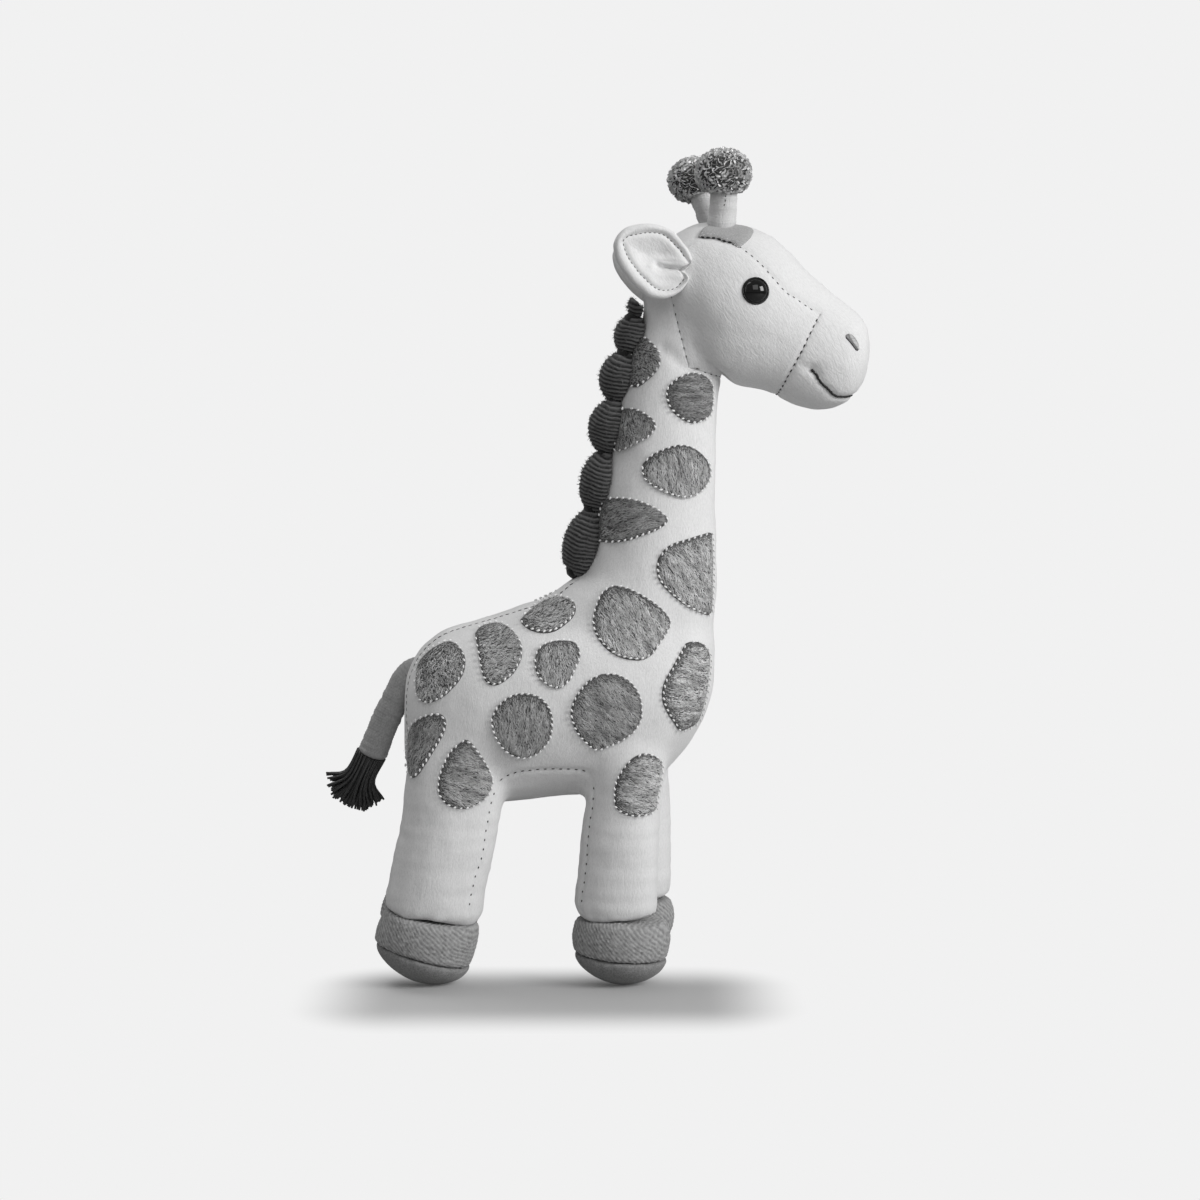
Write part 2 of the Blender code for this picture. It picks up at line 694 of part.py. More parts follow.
def build_horn(side, cloths, head_cutter, surface, head_hinge):
    lean = RIGHT_HORN_LEAN if side == RIGHT else LEFT_HORN_LEAN
    set_back = 0 if side == RIGHT else LEFT_HORN_SET_BACK
    start = PIVOT + X * (HEAD_LENGTH * HORN_PLACE_SHARE - set_back) + Y * side * HORN_SPREAD
    base, _ = touch(surface, start, Z)
    axis = Vector((math.sin(lean), side * math.sin(HORN_SPLAY), math.cos(lean))).normalized()
    across = axis.cross(Y).normalized()
    beside = axis.cross(across)
    rings = []
    foot, seat = -HORN_SEAT_DEPTH, HORN_LENGTH - HORN_BALL_HEIGHT / 2 + HORN_SEAT_DEPTH
    for height, size in ((foot, 1.05), (HORN_SEAT_DEPTH, 1.02), (HORN_LENGTH / 3, 0.95), (seat, 1.0)):
        centre = base + axis * height
        half = HORN_STEM_RADIUS * size
        rings.append(oval(centre, across * half, beside * half, SMALL_SIDES))
    stem = loft(f"horn_stem_{SIDE_NAMES[side]}", rings, cloths["body"])
    stem_cutter = grown(stem, SEWN_GAP)
    top = ball(
        f"horn_ball_{SIDE_NAMES[side]}",
        base + axis * HORN_LENGTH,
        (HORN_BALL_RADIUS, HORN_BALL_RADIUS, HORN_BALL_HEIGHT / 2),
        BODY_SIDES - 8,
        cloths["ball"],
    )
    cut(top, stem_cutter)
    free_to_swing(stem, head_cutter, base, Y, -HORN_LIMIT, HORN_LIMIT)
    seam = hinge(f"horn_seam_{SIDE_NAMES[side]}", base)
    hang(seam, stem, top)
    hang_hinge(seam, head_hinge)
    return base


def build_crown(cloth, surface, horn_bases, head_hinge):
    centre = PIVOT + X * HEAD_LENGTH * CROWN_PLACE_SHARE
    crown = patch(
        "crown_patch",
        surface,
        centre,
        X * CROWN_LENGTH / 2,
        Y * CROWN_WIDTH / 2,
        Z,
        CROWN_THICKNESS,
        cloth,
        BODY_SIDES - 4,
    )
    room = HORN_STEM_RADIUS * 1.3
    for number, base in enumerate(horn_bases):
        cut(crown, as_cutter(ball(f"horn_hole_{number}", base, (room, room, room), SMALL_SIDES, None)))
    hang(head_hinge, crown)


# Eyes


def build_eye(side, plastic, washer_plastic, head, surface, head_hinge):
    label = SIDE_NAMES[side]
    place, normal = touch(surface, face_point(*EYE_PLACE_SHARES), Y * side)
    turn = normal.to_track_quat("Z", "Y").to_matrix().to_4x4()
    stand = Matrix.Translation(place + normal * SEWN_GAP) @ turn
    rim_top = EYE_RIM_HEIGHT
    inner = EYE_RADIUS * 0.9
    dome = []
    for turn_share in (0.25, 0.5, 0.75):
        angle = turn_share * math.pi / 2
        dome.append((inner * math.cos(angle), rim_top + (EYE_DOME_HEIGHT - rim_top) * math.sin(angle)))
    profile = [
        (0, -EYE_POST_LENGTH),
        (EYE_POST_RADIUS, -EYE_POST_LENGTH),
        (EYE_POST_RADIUS, 0),
        (EYE_RADIUS * 0.93, 0),
        (EYE_RADIUS, rim_top / 2),
        (EYE_RADIUS * 0.95, rim_top),
        (inner, rim_top),
        *dome,
        (0, EYE_DOME_HEIGHT),
    ]
    eye = turned(f"eye_{label}", profile, EYE_SIDES, plastic)
    hole = EYE_POST_RADIUS + SEWN_GAP
    low, high = -EYE_WASHER_DEPTH - EYE_WASHER_THICKNESS, -EYE_WASHER_DEPTH
    bm = bmesh.new()
    corners = [
        bm.verts.new((radius, 0, height))
        for radius, height in ((hole, low), (EYE_WASHER_RADIUS, low), (EYE_WASHER_RADIUS, high), (hole, high))
    ]
    edges = [bm.edges.new(pair) for pair in zip(corners, corners[1:] + corners[:1])]
    bmesh.ops.spin(
        bm, geom=corners + edges, cent=(0, 0, 0), axis=Z, steps=EYE_SIDES, angle=2 * math.pi, use_merge=True
    )
    washer = add_object(f"eye_washer_{label}", bm, washer_plastic)
    wide = EYE_WASHER_RADIUS + SEWN_GAP
    pocket_profile = [
        (0, -EYE_POST_LENGTH - SEWN_GAP),
        (hole, -EYE_POST_LENGTH - SEWN_GAP),
        (hole, low - SEWN_GAP),
        (wide, low - SEWN_GAP),
        (wide, high + SEWN_GAP),
        (hole, high + SEWN_GAP),
        (hole, CUT_OVERRUN),
        (0, CUT_OVERRUN),
    ]
    pocket = as_cutter(turned(f"eye_pocket_{label}", pocket_profile, EYE_SIDES, None))
    pocket.data.transform(stand)
    cut(head, pocket)
    for piece in (eye, washer):
        piece.data.transform(stand)
        hang(head_hinge, piece)
    seat = as_cutter(ball(f"eye_dimple_{label}", place + normal * EYE_RADIUS * 0.9, (EYE_RADIUS * 1.2,) * 3, EYE_SIDES, None))
    cut(head, seat)


def build_nostril(side, cloth, surface, head_hinge):
    ahead, up = face_directions()
    centre = face_point(*NOSTRIL_PLACE_SHARES)
    along = ahead * math.cos(NOSTRIL_TILT) + up * math.sin(NOSTRIL_TILT)
    across = up * math.cos(NOSTRIL_TILT) - ahead * math.sin(NOSTRIL_TILT)
    made = patch(
        f"nostril_{SIDE_NAMES[side]}",
        surface,
        centre,
        along * NOSTRIL_LENGTH / 2,
        across * NOSTRIL_WIDTH / 2,
        Y * side,
        NOSTRIL_THICKNESS,
        cloth,
        NOSTRIL_SIDES,
    )
    hang(head_hinge, made)


# Mane


def crease(height):
    """A point on the back of the neck and the way the mane runs there."""
    step = (MANE_CREASE_SHARES[-1] - MANE_CREASE_SHARES[0]) / len(MANE_CREASE_SHARES) / 2
    return neck_back(height), (neck_back(height + step) - neck_back(height - step)).normalized()


def build_mane(cloth, neck_cutter, torso_cutter, head_cutter):
    lobe_cutters = []
    for number, (low, high) in enumerate(zip(MANE_CREASE_SHARES, MANE_CREASE_SHARES[1:])):
        (foot, foot_run), (top, top_run) = crease(low), crease(high)
        along = (top - foot).normalized()
        middle = (foot + top) / 2
        half = (top - foot).length / 2
        name = f"mane_lobe_{number + 1}"
        depth = MANE_DEPTH * LOBE_DEPTH_SHARES[number]
        width = MANE_WIDTH / 2 * LOBE_WIDTH_SHARES[number]
        lobe = ball(name, Vector((0, 0, 0)), (depth, width, half * LOBE_ALONG_SHARE), LOBE_SIDES, cloth)
        lean = Matrix((Y.cross(along), Y, along)).transposed().to_4x4()
        lobe.data.transform(Matrix.Translation(middle) @ lean)
        trimmed(lobe, foot + foot_run * SEWN_GAP / 2, -foot_run)
        trimmed(lobe, top - top_run * SEWN_GAP / 2, top_run)
        lobe_cutters.append(grown(lobe, SEWN_GAP))
        cut(lobe, neck_cutter)
        if number == 0:
            cut(lobe, torso_cutter)
        if high >= 1:
            cut(lobe, head_cutter)
            cut(lobe, turned_about(head_cutter, PIVOT, Y, -NOD_LIMIT))
    return lobe_cutters


# Tail


def build_tail(cloth, yarn, torso_cutter, surface):
    height = BELLY_HEIGHT + TORSO_HEIGHT * TAIL_ROOT_SHARE
    root, _ = touch(surface, Vector((TORSO_REAR, 0, height)), -X)
    points = [root + (X * back + Z * down) * TAIL_LENGTH for back, down, _ in TAIL_SHARES]
    stations = []
    for number, (_, _, size) in enumerate(TAIL_SHARES):
        low, high = max(number - 1, 0), min(number + 1, len(points) - 1)
        run = (points[high] - points[low]).normalized()
        stations.append((points[number], run.cross(Y), TAIL_RADIUS * size, TAIL_RADIUS * size))
    rings = [oval(centre, across * half, Y * half, SMALL_SIDES) for centre, across, half, _ in stations]
    tail = loft("tail", rings, cloth)
    free_to_swing(tail, torso_cutter, root, Y, 0, TAIL_LIFT_LIMIT)
    seam = hinge("tail_seam", root)
    hang(seam, tail)
    run = (points[-1] - points[-3]).normalized()
    knot = points[-1] - run * TAIL_RADIUS * TAIL_KNOT_SHARE
    socket = swing_cutter("tail_socket", stations[-TAIL_IN_TASSEL:], knot, run, TASSEL_LIMIT, SMALL_SIDES)
    run.rotate(Matrix.Rotation(TASSEL_LEAN, 3, "Y"))
    rings = []
    for along, size in TASSEL_SHARES:
        across = run.cross(Y) * TASSEL_RADIUS * size
        deep = Y * TASSEL_DEPTH / 2 * size
        rings.append(oval(knot + run * TASSEL_LENGTH * along, across, deep, SMALL_SIDES))
    tassel = loft("tassel", rings, yarn)
    cut(tassel, socket)
    tie = hinge("tassel_tie", knot)
    hang(tie, tassel)
    hang_hinge(tie, seam)


# Spots


def build_spots(cloth, surface, lobe_cutters):
    for side in (RIGHT, LEFT):
        for name, (along, height, long_share, high_share, tilt) in SPOT_SHARES.items():
            centre = Vector((TORSO_REAR + TORSO_LENGTH * along, 0, BELLY_HEIGHT + TORSO_HEIGHT * height))
            halves = TORSO_LENGTH * long_share, TORSO_HEIGHT * high_share
            build_spot(f"spot_{name}_{SIDE_NAMES[side]}", centre, halves, tilt, side, cloth, surface)
        for name, (height, across, wide_share, high_share, tilt) in NECK_SPOT_SHARES.items():
            middle, half, _ = neck_station(height)
            centre = middle + X * half * across
            halves = NECK_THICKNESS * wide_share, NECK_THICKNESS * high_share
            spot = build_spot(f"spot_{name}_{SIDE_NAMES[side]}", centre, halves, tilt, side, cloth, surface)
            if across < 0:
                for cutter in lobe_cutters[:2]:
                    cut(spot, cutter)


def build_spot(name, centre, halves, tilt, side, cloth, surface):
    """A spot whose outline is an oval as seen from the side, laid flat on the surface where it is."""
    turn = math.radians(tilt)
    along = (X * math.cos(turn) + Z * math.sin(turn)) * halves[0]
    across = (Z * math.cos(turn) - X * math.sin(turn)) * halves[1]
    place, normal = touch(surface, centre, Y * side)
    lie = [way - Y * (way.dot(normal) / normal.y) for way in (along, across)]
    return patch(name, surface, place, *lie, normal, SPOT_THICKNESS, cloth)


def build():
    clear_scene()
    cloths = {
        "body": material("body_plush", 0.78, 0.9),
        "spot": material("spot_plush", 0.28, 0.95),
        "hoof": material("hoof_plush", 0.22, 0.95),
        "sole": material("sole_suede", 0.17, 0.9),
        "ball": material("ball_boucle", 0.2, 0.95),
        "mane": material("mane_chenille", 0.1, 0.95),
        "yarn": material("tassel_yarn", 0.04, 0.8),
        "eye": material("eye_plastic", 0.006, 0.08),
        "washer": material("washer_plastic", 0.6, 0.4),
    }
    torso, belly, torso_cutter = build_torso(cloths["body"])
    torso_surface = tree([torso, belly])
    neck, neck_cutter, neck_socket = build_neck(cloths["body"], torso_cutter)
    head, muzzle, head_cutter, head_surface = build_head(cloths["body"], neck_socket)
    head_hinge = hinge("head_seam", PIVOT)
    skins = [torso, belly, neck]
    for front in (True, False):
        for side in (RIGHT, LEFT):
            skins.append(build_leg(front, side, cloths, torso_cutter))
    body_surface = tree(skins)
    for side in (RIGHT, LEFT):
        build_eye(side, cloths["eye"], cloths["washer"], head, head_surface, head_hinge)
        build_ear(side, cloths["body"], head_cutter, head_surface, head_hinge)
        build_nostril(side, cloths["hoof"], head_surface, head_hinge)
    horn_bases = [build_horn(side, cloths, head_cutter, head_surface, head_hinge) for side in (RIGHT, LEFT)]
    build_crown(cloths["spot"], head_surface, horn_bases, head_hinge)
    lobe_cutters = build_mane(cloths["mane"], neck_cutter, torso_cutter, head_cutter)
    build_tail(cloths["body"], cloths["yarn"], torso_cutter, torso_surface)
    build_spots(cloths["spot"], body_surface, lobe_cutters)
    hang(head_hinge, head, muzzle)


build()
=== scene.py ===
import math
import random

import bmesh
import bpy
import numpy as np
from mathutils import Matrix, Vector, noise
from mathutils.bvhtree import BVHTree


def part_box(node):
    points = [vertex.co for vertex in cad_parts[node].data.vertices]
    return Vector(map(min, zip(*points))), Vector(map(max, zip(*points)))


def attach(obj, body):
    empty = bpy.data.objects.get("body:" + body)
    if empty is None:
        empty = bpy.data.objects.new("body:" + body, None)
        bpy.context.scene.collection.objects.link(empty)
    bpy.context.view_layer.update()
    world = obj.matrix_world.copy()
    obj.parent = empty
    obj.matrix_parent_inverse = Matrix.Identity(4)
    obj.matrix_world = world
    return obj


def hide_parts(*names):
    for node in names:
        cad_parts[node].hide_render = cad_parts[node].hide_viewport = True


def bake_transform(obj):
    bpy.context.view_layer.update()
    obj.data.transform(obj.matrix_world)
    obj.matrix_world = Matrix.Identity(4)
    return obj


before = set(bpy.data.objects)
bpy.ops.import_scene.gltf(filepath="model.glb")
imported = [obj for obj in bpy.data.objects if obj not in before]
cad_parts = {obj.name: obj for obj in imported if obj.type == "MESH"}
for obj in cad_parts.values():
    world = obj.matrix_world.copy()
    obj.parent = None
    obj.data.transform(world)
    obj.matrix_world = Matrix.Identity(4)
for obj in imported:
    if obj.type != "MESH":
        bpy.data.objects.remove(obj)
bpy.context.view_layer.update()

MM = 0.001
HANDS = ((-1, "right"), (1, "left"))
LEGS = [f"{end}_{hand}" for end in ("front", "hind") for hand in ("right", "left")]
ALONG, ACROSS, UP = Vector((1, 0, 0)), Vector((0, 1, 0)), Vector((0, 0, 1))
GOLDEN_TURN = 2.39996

# Plush skin: near-white short-pile velour, cut as panels that are sewn edge to edge and
# stuffed from inside with loose fibre. It is grown as one skin over the CAD solids, blown
# up as cloth while its seams hold, and then parted along the seams into its panels.
SKIN_GRAIN = 2.4 * MM
SKIN_SINK = 0.5 * MM
SKIN_SWELL = 1.2 * MM
SEAM_GRIP = 2.2 * MM
CLOTH_FRAMES = 20
# The two bodies that the neck and head pieces lie between, and two places from one to the other.
NECK = ("torso", "head", (0.0252, 0, 0.234), (0.0492, 0, 0.258))


def add_piece(name, mesh, *finishes):
    piece = bpy.data.objects.new(name, mesh)
    bpy.context.scene.collection.objects.link(piece)
    for finish in finishes:
        mesh.materials.append(finish)
    return piece


def settled(piece):
    """The piece's mesh with its modifiers worked in."""
    mesh = bpy.data.meshes.new_from_object(piece.evaluated_get(bpy.context.evaluated_depsgraph_get()))
    piece.modifiers.clear()
    piece.data = mesh
    return mesh


def mesh_from(name, bm):
    mesh = bpy.data.meshes.new(name)
    bm.to_mesh(mesh)
    bm.free()
    return mesh


def opened(*meshes):
    bm = bmesh.new()
    for mesh in meshes:
        bm.from_mesh(mesh)
    return bm


def grown_skin(name, nodes, grain, swell, ease):
    """One closed skin over CAD solids: grain is its mesh size, swell how far it stands off them."""
    bm = opened(*(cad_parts[node].data for node in nodes))
    bmesh.ops.remove_doubles(bm, verts=bm.verts, dist=0.002 * MM)
    bm.normal_update()
    for corner in bm.verts:
        corner.co += corner.normal * swell
    piece = add_piece(name, mesh_from(name, bm))
    knit = piece.modifiers.new("knit", "REMESH")
    knit.mode = "VOXEL"
    knit.voxel_size = grain
    knit.use_smooth_shade = True
    mesh = settled(piece)
    mesh.materials.clear()
    bm = opened(mesh)
    for _ in range(ease):
        bmesh.ops.smooth_vert(bm, verts=bm.verts, factor=0.5, use_axis_x=True, use_axis_y=True, use_axis_z=True)
    bm.to_mesh(mesh)
    bm.free()
    return piece


def finer(piece):
    step = piece.modifiers.new("finer", "SUBSURF")
    step.levels = step.render_levels = 1
    settled(piece).shade_smooth()


def soft_form(name, solid, grain, swell, ease, finish):
    """A fine skin grown over one solid, its sizes in mm."""
    piece = grown_skin(name, [solid], grain * MM, swell * MM, ease)
    finer(piece)
    piece.data.materials.append(finish)
    return piece


def corners_of(mesh, what="co"):
    flat = np.empty(len(mesh.vertices) * 3, np.float32)
    mesh.vertices.foreach_get(what, flat)
    return flat.reshape(-1, 3).astype(float)


def form_of(piece):
    """The places of a piece's corners and their ways out."""
    return corners_of(piece.data), corners_of(piece.data, "normal")


def put_corners(mesh, corners):
    mesh.vertices.foreach_set("co", corners.astype(np.float32).ravel())
    mesh.update()


def push_out(piece, amounts):
    """Moves each corner along its own way out."""
    corners, normals = form_of(piece)
    put_corners(piece.data, corners + normals * amounts[:, None])


def distance_to_line(points, line):
    """How far each point is from a run of straight stretches."""
    line = np.array([list(p) for p in line])
    best = np.full(len(points), 1.0)
    for a, b in zip(line[:-1], line[1:]):
        along = b - a
        share = np.clip(((points - a) @ along) / max(along @ along, 1e-12), 0, 1)
        best = np.minimum(best, np.linalg.norm(points - (a + share[:, None] * along), axis=1))
    return best


def stuff(piece, swell, lines):
    """Blows a skin up as cloth. The seam lines hold, and no point moves further than swell."""
    start, normals = form_of(piece)
    held = np.zeros(len(start))
    for line in lines:
        held = np.maximum(held, np.exp(-((distance_to_line(start, line) / SEAM_GRIP) ** 2)))
    pins = piece.vertex_groups.new(name="pins")
    for number in np.nonzero(held > 0.6)[0]:
        pins.add([int(number)], 1.0, "REPLACE")
    cloth = piece.modifiers.new("filling", "CLOTH")
    cloth.settings.quality = 4
    cloth.settings.use_pressure = True
    cloth.settings.uniform_pressure_force = 4
    cloth.settings.effector_weights.gravity = 0
    cloth.settings.vertex_group_mass = "pins"
    cloth.point_cache.frame_start = 1
    cloth.point_cache.frame_end = CLOTH_FRAMES
    for number in range(1, CLOTH_FRAMES + 1):
        bpy.context.scene.frame_set(number)
    blown = piece.evaluated_get(bpy.context.evaluated_depsgraph_get()).to_mesh()
    moved = corners_of(blown) - start
    piece.modifiers.clear()
    piece.vertex_groups.clear()
    bpy.context.scene.frame_set(1)
    length = np.linalg.norm(moved, axis=1, keepdims=True)
    moved *= np.minimum(1, swell / np.maximum(length, 1e-9))
    put_corners(piece.data, start + moved * (1 - 0.55 * held[:, None]))


def span(a, b, c, d, parts):
    """Places on a smooth curve from b on towards c. Its neighbours are a and d."""
    for part in range(parts):
        t = part / parts
        yield (b * 2 + (c - a) * t + (a * 2 - b * 5 + c * 4 - d) * t * t + (b * 3 - a - c * 3 + d) * t**3) / 2


def round_through(points, parts):
    """A closed smooth ring through points, with so many parts to a span."""
    points = [Vector(p) for p in points]
    fours = zip(points[-1:] + points[:-1], points, points[1:] + points[:1], points[2:] + points[:2])
    return [place for four in fours for place in span(*four, parts)]


def curve_through(points, step):
    """Points a step apart on a smooth line through the given ones."""
    points = [Vector(p) for p in points]
    ends = [points[0] * 2 - points[1], *points, points[-1] * 2 - points[-2]]
    fine = [place for four in zip(ends, ends[1:], ends[2:], ends[3:]) for place in span(*four, 12)]
    fine.append(points[-1])
    line, left = [fine[0].copy()], step
    for a, b in zip(fine, fine[1:]):
        run = (b - a).length
        while run > 1e-9 and left <= run:
            a = a.lerp(b, left / run)
            run = (b - a).length
            line.append(a.copy())
            left = step
        left -= run
    return line


def mirrored(points):
    return [Vector((p[0], -p[1], p[2])) for p in points]


def sided(points, side):
    """Points of the right side, mirrored for the left."""
    return points if side < 0 else mirrored(points)


def millimetres(points):
    """The points of a table in metres. Those of the middle plane are given along and up."""
    return [Vector(p if len(p) == 3 else (p[0], 0, p[1])) * MM for p in points]


# Seam lines on the right side, in mm, as they lie on the skin. The left side mirrors them.
BELLY_SEAM = (
    (-38.5, -27.5, 80), (-35.7, -28.1, 82.4), (-31.8, -28.6, 84.2), (-27.1, -29.4, 85.5), (-19.3, -29.3, 86.1),
    (-11.5, -28.8, 86.2), (-5.7, -28.1, 85.7), (-2.6, -28.1, 84.7), (-1.5, -27.5, 82),
)
FORELEG_SEAM = (
    (-1.5, -27.5, 82), (-2, -27.9, 78), (-2.1, -28.6, 72.2), (-2.6, -29.1, 64.4), (-3.4, -29.3, 54.5),
    (-4.4, -29.1, 42.6), (-5.5, -28.1, 29.5),
)
HINDLEG_SEAM = (
    (-38.5, -27.5, 80), (-39.3, -28.8, 76.3), (-41, -30, 68.8), (-43, -30, 57.8), (-44.8, -30.2, 49.5),
    (-46.6, -31.1, 44), (-48.1, -31.3, 37), (-49.8, -31.5, 29),
)
GUSSET_SEAM = (
    (30, -17.5, 283), (35.4, -17.5, 289.1), (39.9, -16.6, 292.5), (44.3, -17.9, 292.2), (47.8, -18.6, 291.4),
    (50.8, -19.4, 290.3), (55.9, -19.8, 288.7), (60.1, -20.8, 285.6), (64.3, -21.4, 281.8), (68.9, -21.5, 276.7),
    (74.3, -20.7, 271), (77.6, -19.4, 269.1), (81, -18.1, 266.9), (85.9, -16.6, 263.9), (87.6, -16.2, 262.9),
)
BACK_SEAM = (
    (-7.1, -7.6, 158.6), (-12.3, -8.4, 154.7), (-18.5, -8, 150.6), (-24.2, -8.2, 148.2), (-28.9, -8, 146.9),
    (-37.6, -6.6, 144.2), (-45.6, -6.2, 141.9), (-52.4, -6.2, 140), (-57, -6.6, 138.3), (-61.1, -7.2, 136.3),
    (-65.5, -7.6, 133.8), (-70.5, -9.2, 127.8), (-73, -11.5, 120), (-73.2, -14.5, 112), (-73.2, -16.6, 103),
    (-73.4, -17.3, 93), (-73.8, -16.5, 86),
)
CHEST_SEAM = (
    (45.3, -9.4, 236), (45.4, -8.8, 215), (45.6, -9, 190), (46.3, -9.2, 165), (45.6, -9.6, 146),
    (46, -11, 124), (44, -11, 106), (38.5, -11, 94),
)
MUZZLE_AT = Vector((87.6, -16.2, 262.9)) * MM
MUZZLE_FROM = Vector((73.1, -9.1, 233.9)) * MM
MUZZLE_TOP, MUZZLE_BACK = 263 * MM, 70 * MM
TURNED_IN = 0.6 * MM
CHEEK_TOP = Vector((29.4, 0, 270)) * MM
CHEEK_LOW = Vector((36.4, 0, 243.3)) * MM
CHEEK_END = 242.5 * MM
JAW_AT = Vector((44, 0, 240.2)) * MM
JAW_WAY = Vector((0.26, 0, 0.966))
JAW_BACK, JAW_FRONT = 36.8 * MM, 51.5 * MM
MOUTH = (
    (84.3, -17, 241.4), (85.2, -16.8, 240.7), (86.6, -16.4, 238.9), (87.4, -15.8, 237.4), (89.3, -14.8, 235.2),
    (90.8, -14, 234), (92.3, -12.7, 232.6), (94.3, -10.9, 231.1), (96.8, -9.2, 230.6), (99.5, -6.8, 230.8),
    (101.5, -3.5, 231.4), (102.2, 0, 231.8),
)
MOUTH_CORNER = ((85.2, -16.8, 241.2), (86.5, -16.5, 240.8))
MOUTH_FOLD = ((80.1, -17.2, 243.6), (81.6, -17, 242.5), (83.1, -17, 241.7), (84.3, -17, 241.4))
THROAT_FOLD = (
    (26.6, -15.1, 249.1), (29.3, -15.9, 247.9), (33.2, -16.2, 244.4), (37.2, -15.4, 241.7), (40.3, -13.9, 240),
)

seams = []
for line in (BELLY_SEAM, FORELEG_SEAM, HINDLEG_SEAM, GUSSET_SEAM, BACK_SEAM, CHEST_SEAM):
    seams += [millimetres(line), mirrored(millimetres(line))]

# Where the filling pushes the cloth out further than the CAD solids: along, up and how far.
FULLNESS = (
    (33, 291, 3), (38.3, 294.2, 4), (46, 297, 3.4), (54, 297, 2.1), (61, 296, 1.7), (65.2, 294.4, 1.6),
    (71.4, 290.4, 1.1), (77.2, 285.2, 0.9), (83.1, 279.9, 0.7), (91.9, 271.9, 0.9), (98.6, 266.7, 1),
    (103.7, 262.1, 1.3), (107.6, 252.2, 1), (107.7, 246.7, 1), (106.5, 241.4, 1.2), (104.5, 236.4, 1.3),
    (99.2, 230.7, 1.5), (94.2, 228.5, 1.9), (88.9, 228.2, 2.2), (83.8, 228.9, 2.2), (79, 230.3, 2),
    (73.3, 233.1, 1.7), (67.7, 235.6, 2.3), (60.9, 237.6, 2.6), (57, 239.2, 3.4), (51, 241, 4.4), (46.7, 237.5, 2.2),
    (46.2, 230.4, 1.7), (46, 213, 1.6), (46.2, 190.8, 1.3), (46.6, 174, 1.6), (46.4, 158.4, 1.8), (45.8, 147.7, 2),
    (45.7, 138, 1.9), (47, 129.6, 1), (47.1, 119, 0.4), (44.7, 106.6, 0.3), (35, 90, 0), (-32.4, 71.9, 0.6),
    (-22.8, 71.7, 0.2), (-16.8, 71.9, -0.8), (-10.8, 71.7, -1.2), (-6.1, 72.9, -1.6), (-3.7, 66, 1.6),
    (-4.2, 60.1, 1.2), (-4.8, 53.8, 0.8), (-5.5, 43.2, 1.4), (-5.7, 32.6, 1.8), (-38.3, 69.4, 1.7),
    (-40.3, 60.3, 1.9), (-41.8, 52, 2.2), (-43.9, 42.8, 1.7), (-45.7, 32.1, 2), (-80.9, 34.6, 1.6),
    (-80.3, 43.2, 0.7), (-79.2, 48.8, 0.2), (-76, 64.9, -0.2), (-73.5, 79, 1.1), (-73.7, 86.3, 1.6), (-75, 96, 0.3),
    (-75.8, 104, 0.2), (-71, 122, 0.8), (-64.5, 133.1, 1.5), (-56, 137.7, 1.6), (-47, 141, 0.7), (-38.5, 143.1, 0.8),
    (-33, 144.5, 1.5), (-25.7, 145.9, 3.1), (-20.5, 147.4, 2.9), (-15.3, 150.1, 2.8), (-10.1, 154, 2.8),
    (-4, 163, 1.5), (5, 190, 1), (13, 225, 1), (20, 255, 1), (26, 280, 2), (29.5, 66, -2.4), (29.5, 54, -2.9),
    (29.5, 42, -3.4), (29.5, 31, -3.2), (15, 60, 0), (15, 40, 0), (-60, 60, 0), (-60, 40, 0), (-40, 110, 0),
    (0, 110, 0), (20, 130, 0.3), (30, 170, 0.5), (30, 210, 0.5), (60, 265, 0.5), (85, 250, 0.5),
)
FULL_REACH = 7 * MM
LINE_BREAK = 6 * MM

skin_nodes = ["torso", "belly_panel", "neck", "head", "muzzle", *(f"leg_{leg}" for leg in LEGS)]
skin = grown_skin("skin", skin_nodes, SKIN_GRAIN, SKIN_SINK - SKIN_SWELL, 8)
stuff(skin, SKIN_SWELL, [curve_through(line, 2 * MM) for line in seams])
corners, normals = form_of(skin)
weight, push = np.full(len(corners), 0.02), np.zeros(len(corners))
for along, up, out in FULLNESS:
    near = np.exp(-((corners[:, 0] - along * MM) ** 2 + (corners[:, 2] - up * MM) ** 2) / FULL_REACH**2)
    weight += near
    push += near * out * MM
push *= (1 - normals[:, 1] ** 2) / weight
# The left foreleg stands a little further forward, and shows past the right one.
forward = np.interp(corners[:, 0], (8 * MM, 20 * MM), (0, 1)) * np.interp(corners[:, 2], (72 * MM, 88 * MM), (1, 0))
push *= 1 - forward * (corners[:, 1] > 0)


def lowered(corners):
    """The places where legs and cuffs meet, drawn down to where the photographed edge runs."""
    drop = np.interp(corners[:, 0] / MM, (-85, -45, -8, 8, 25), (2.8, 1.6, 1.0, 1.2, 5.0))
    return corners - np.outer(drop * np.interp(corners[:, 2] / MM, (13, 27, 34, 52), (0, 1, 1, 0)) * MM, (0, 0, 1))


put_corners(skin.data, lowered(corners + normals * push[:, None]))
finer(skin)


# Seams: each is sewn with a dark thread from inside, so the cloth sinks along it and the
# thread shows as short dashes. Lines that lie in a plane are cut out of the skin by it.
def surface(piece):
    return BVHTree.FromObject(piece, bpy.context.evaluated_depsgraph_get())


def laid_on(points, tree):
    """The points moved on to a skin, each with the skin's way out there."""
    return [tree.find_nearest(point)[:2] for point in points]


def lifted(laid, lift):
    """Places laid on a skin, lifted off it by so many mm."""
    return [place + out * lift * MM for place, out in laid]


def cut(bm, at, way):
    """Cuts a mesh by a plane without parting it. Gives back the edges along the cut."""
    whole = bm.verts[:] + bm.edges[:] + bm.faces[:]
    made = bmesh.ops.bisect_plane(bm, geom=whole, dist=1e-7, plane_co=at, plane_no=way)["geom_cut"]
    return [part for part in made if isinstance(part, bmesh.types.BMEdge)]


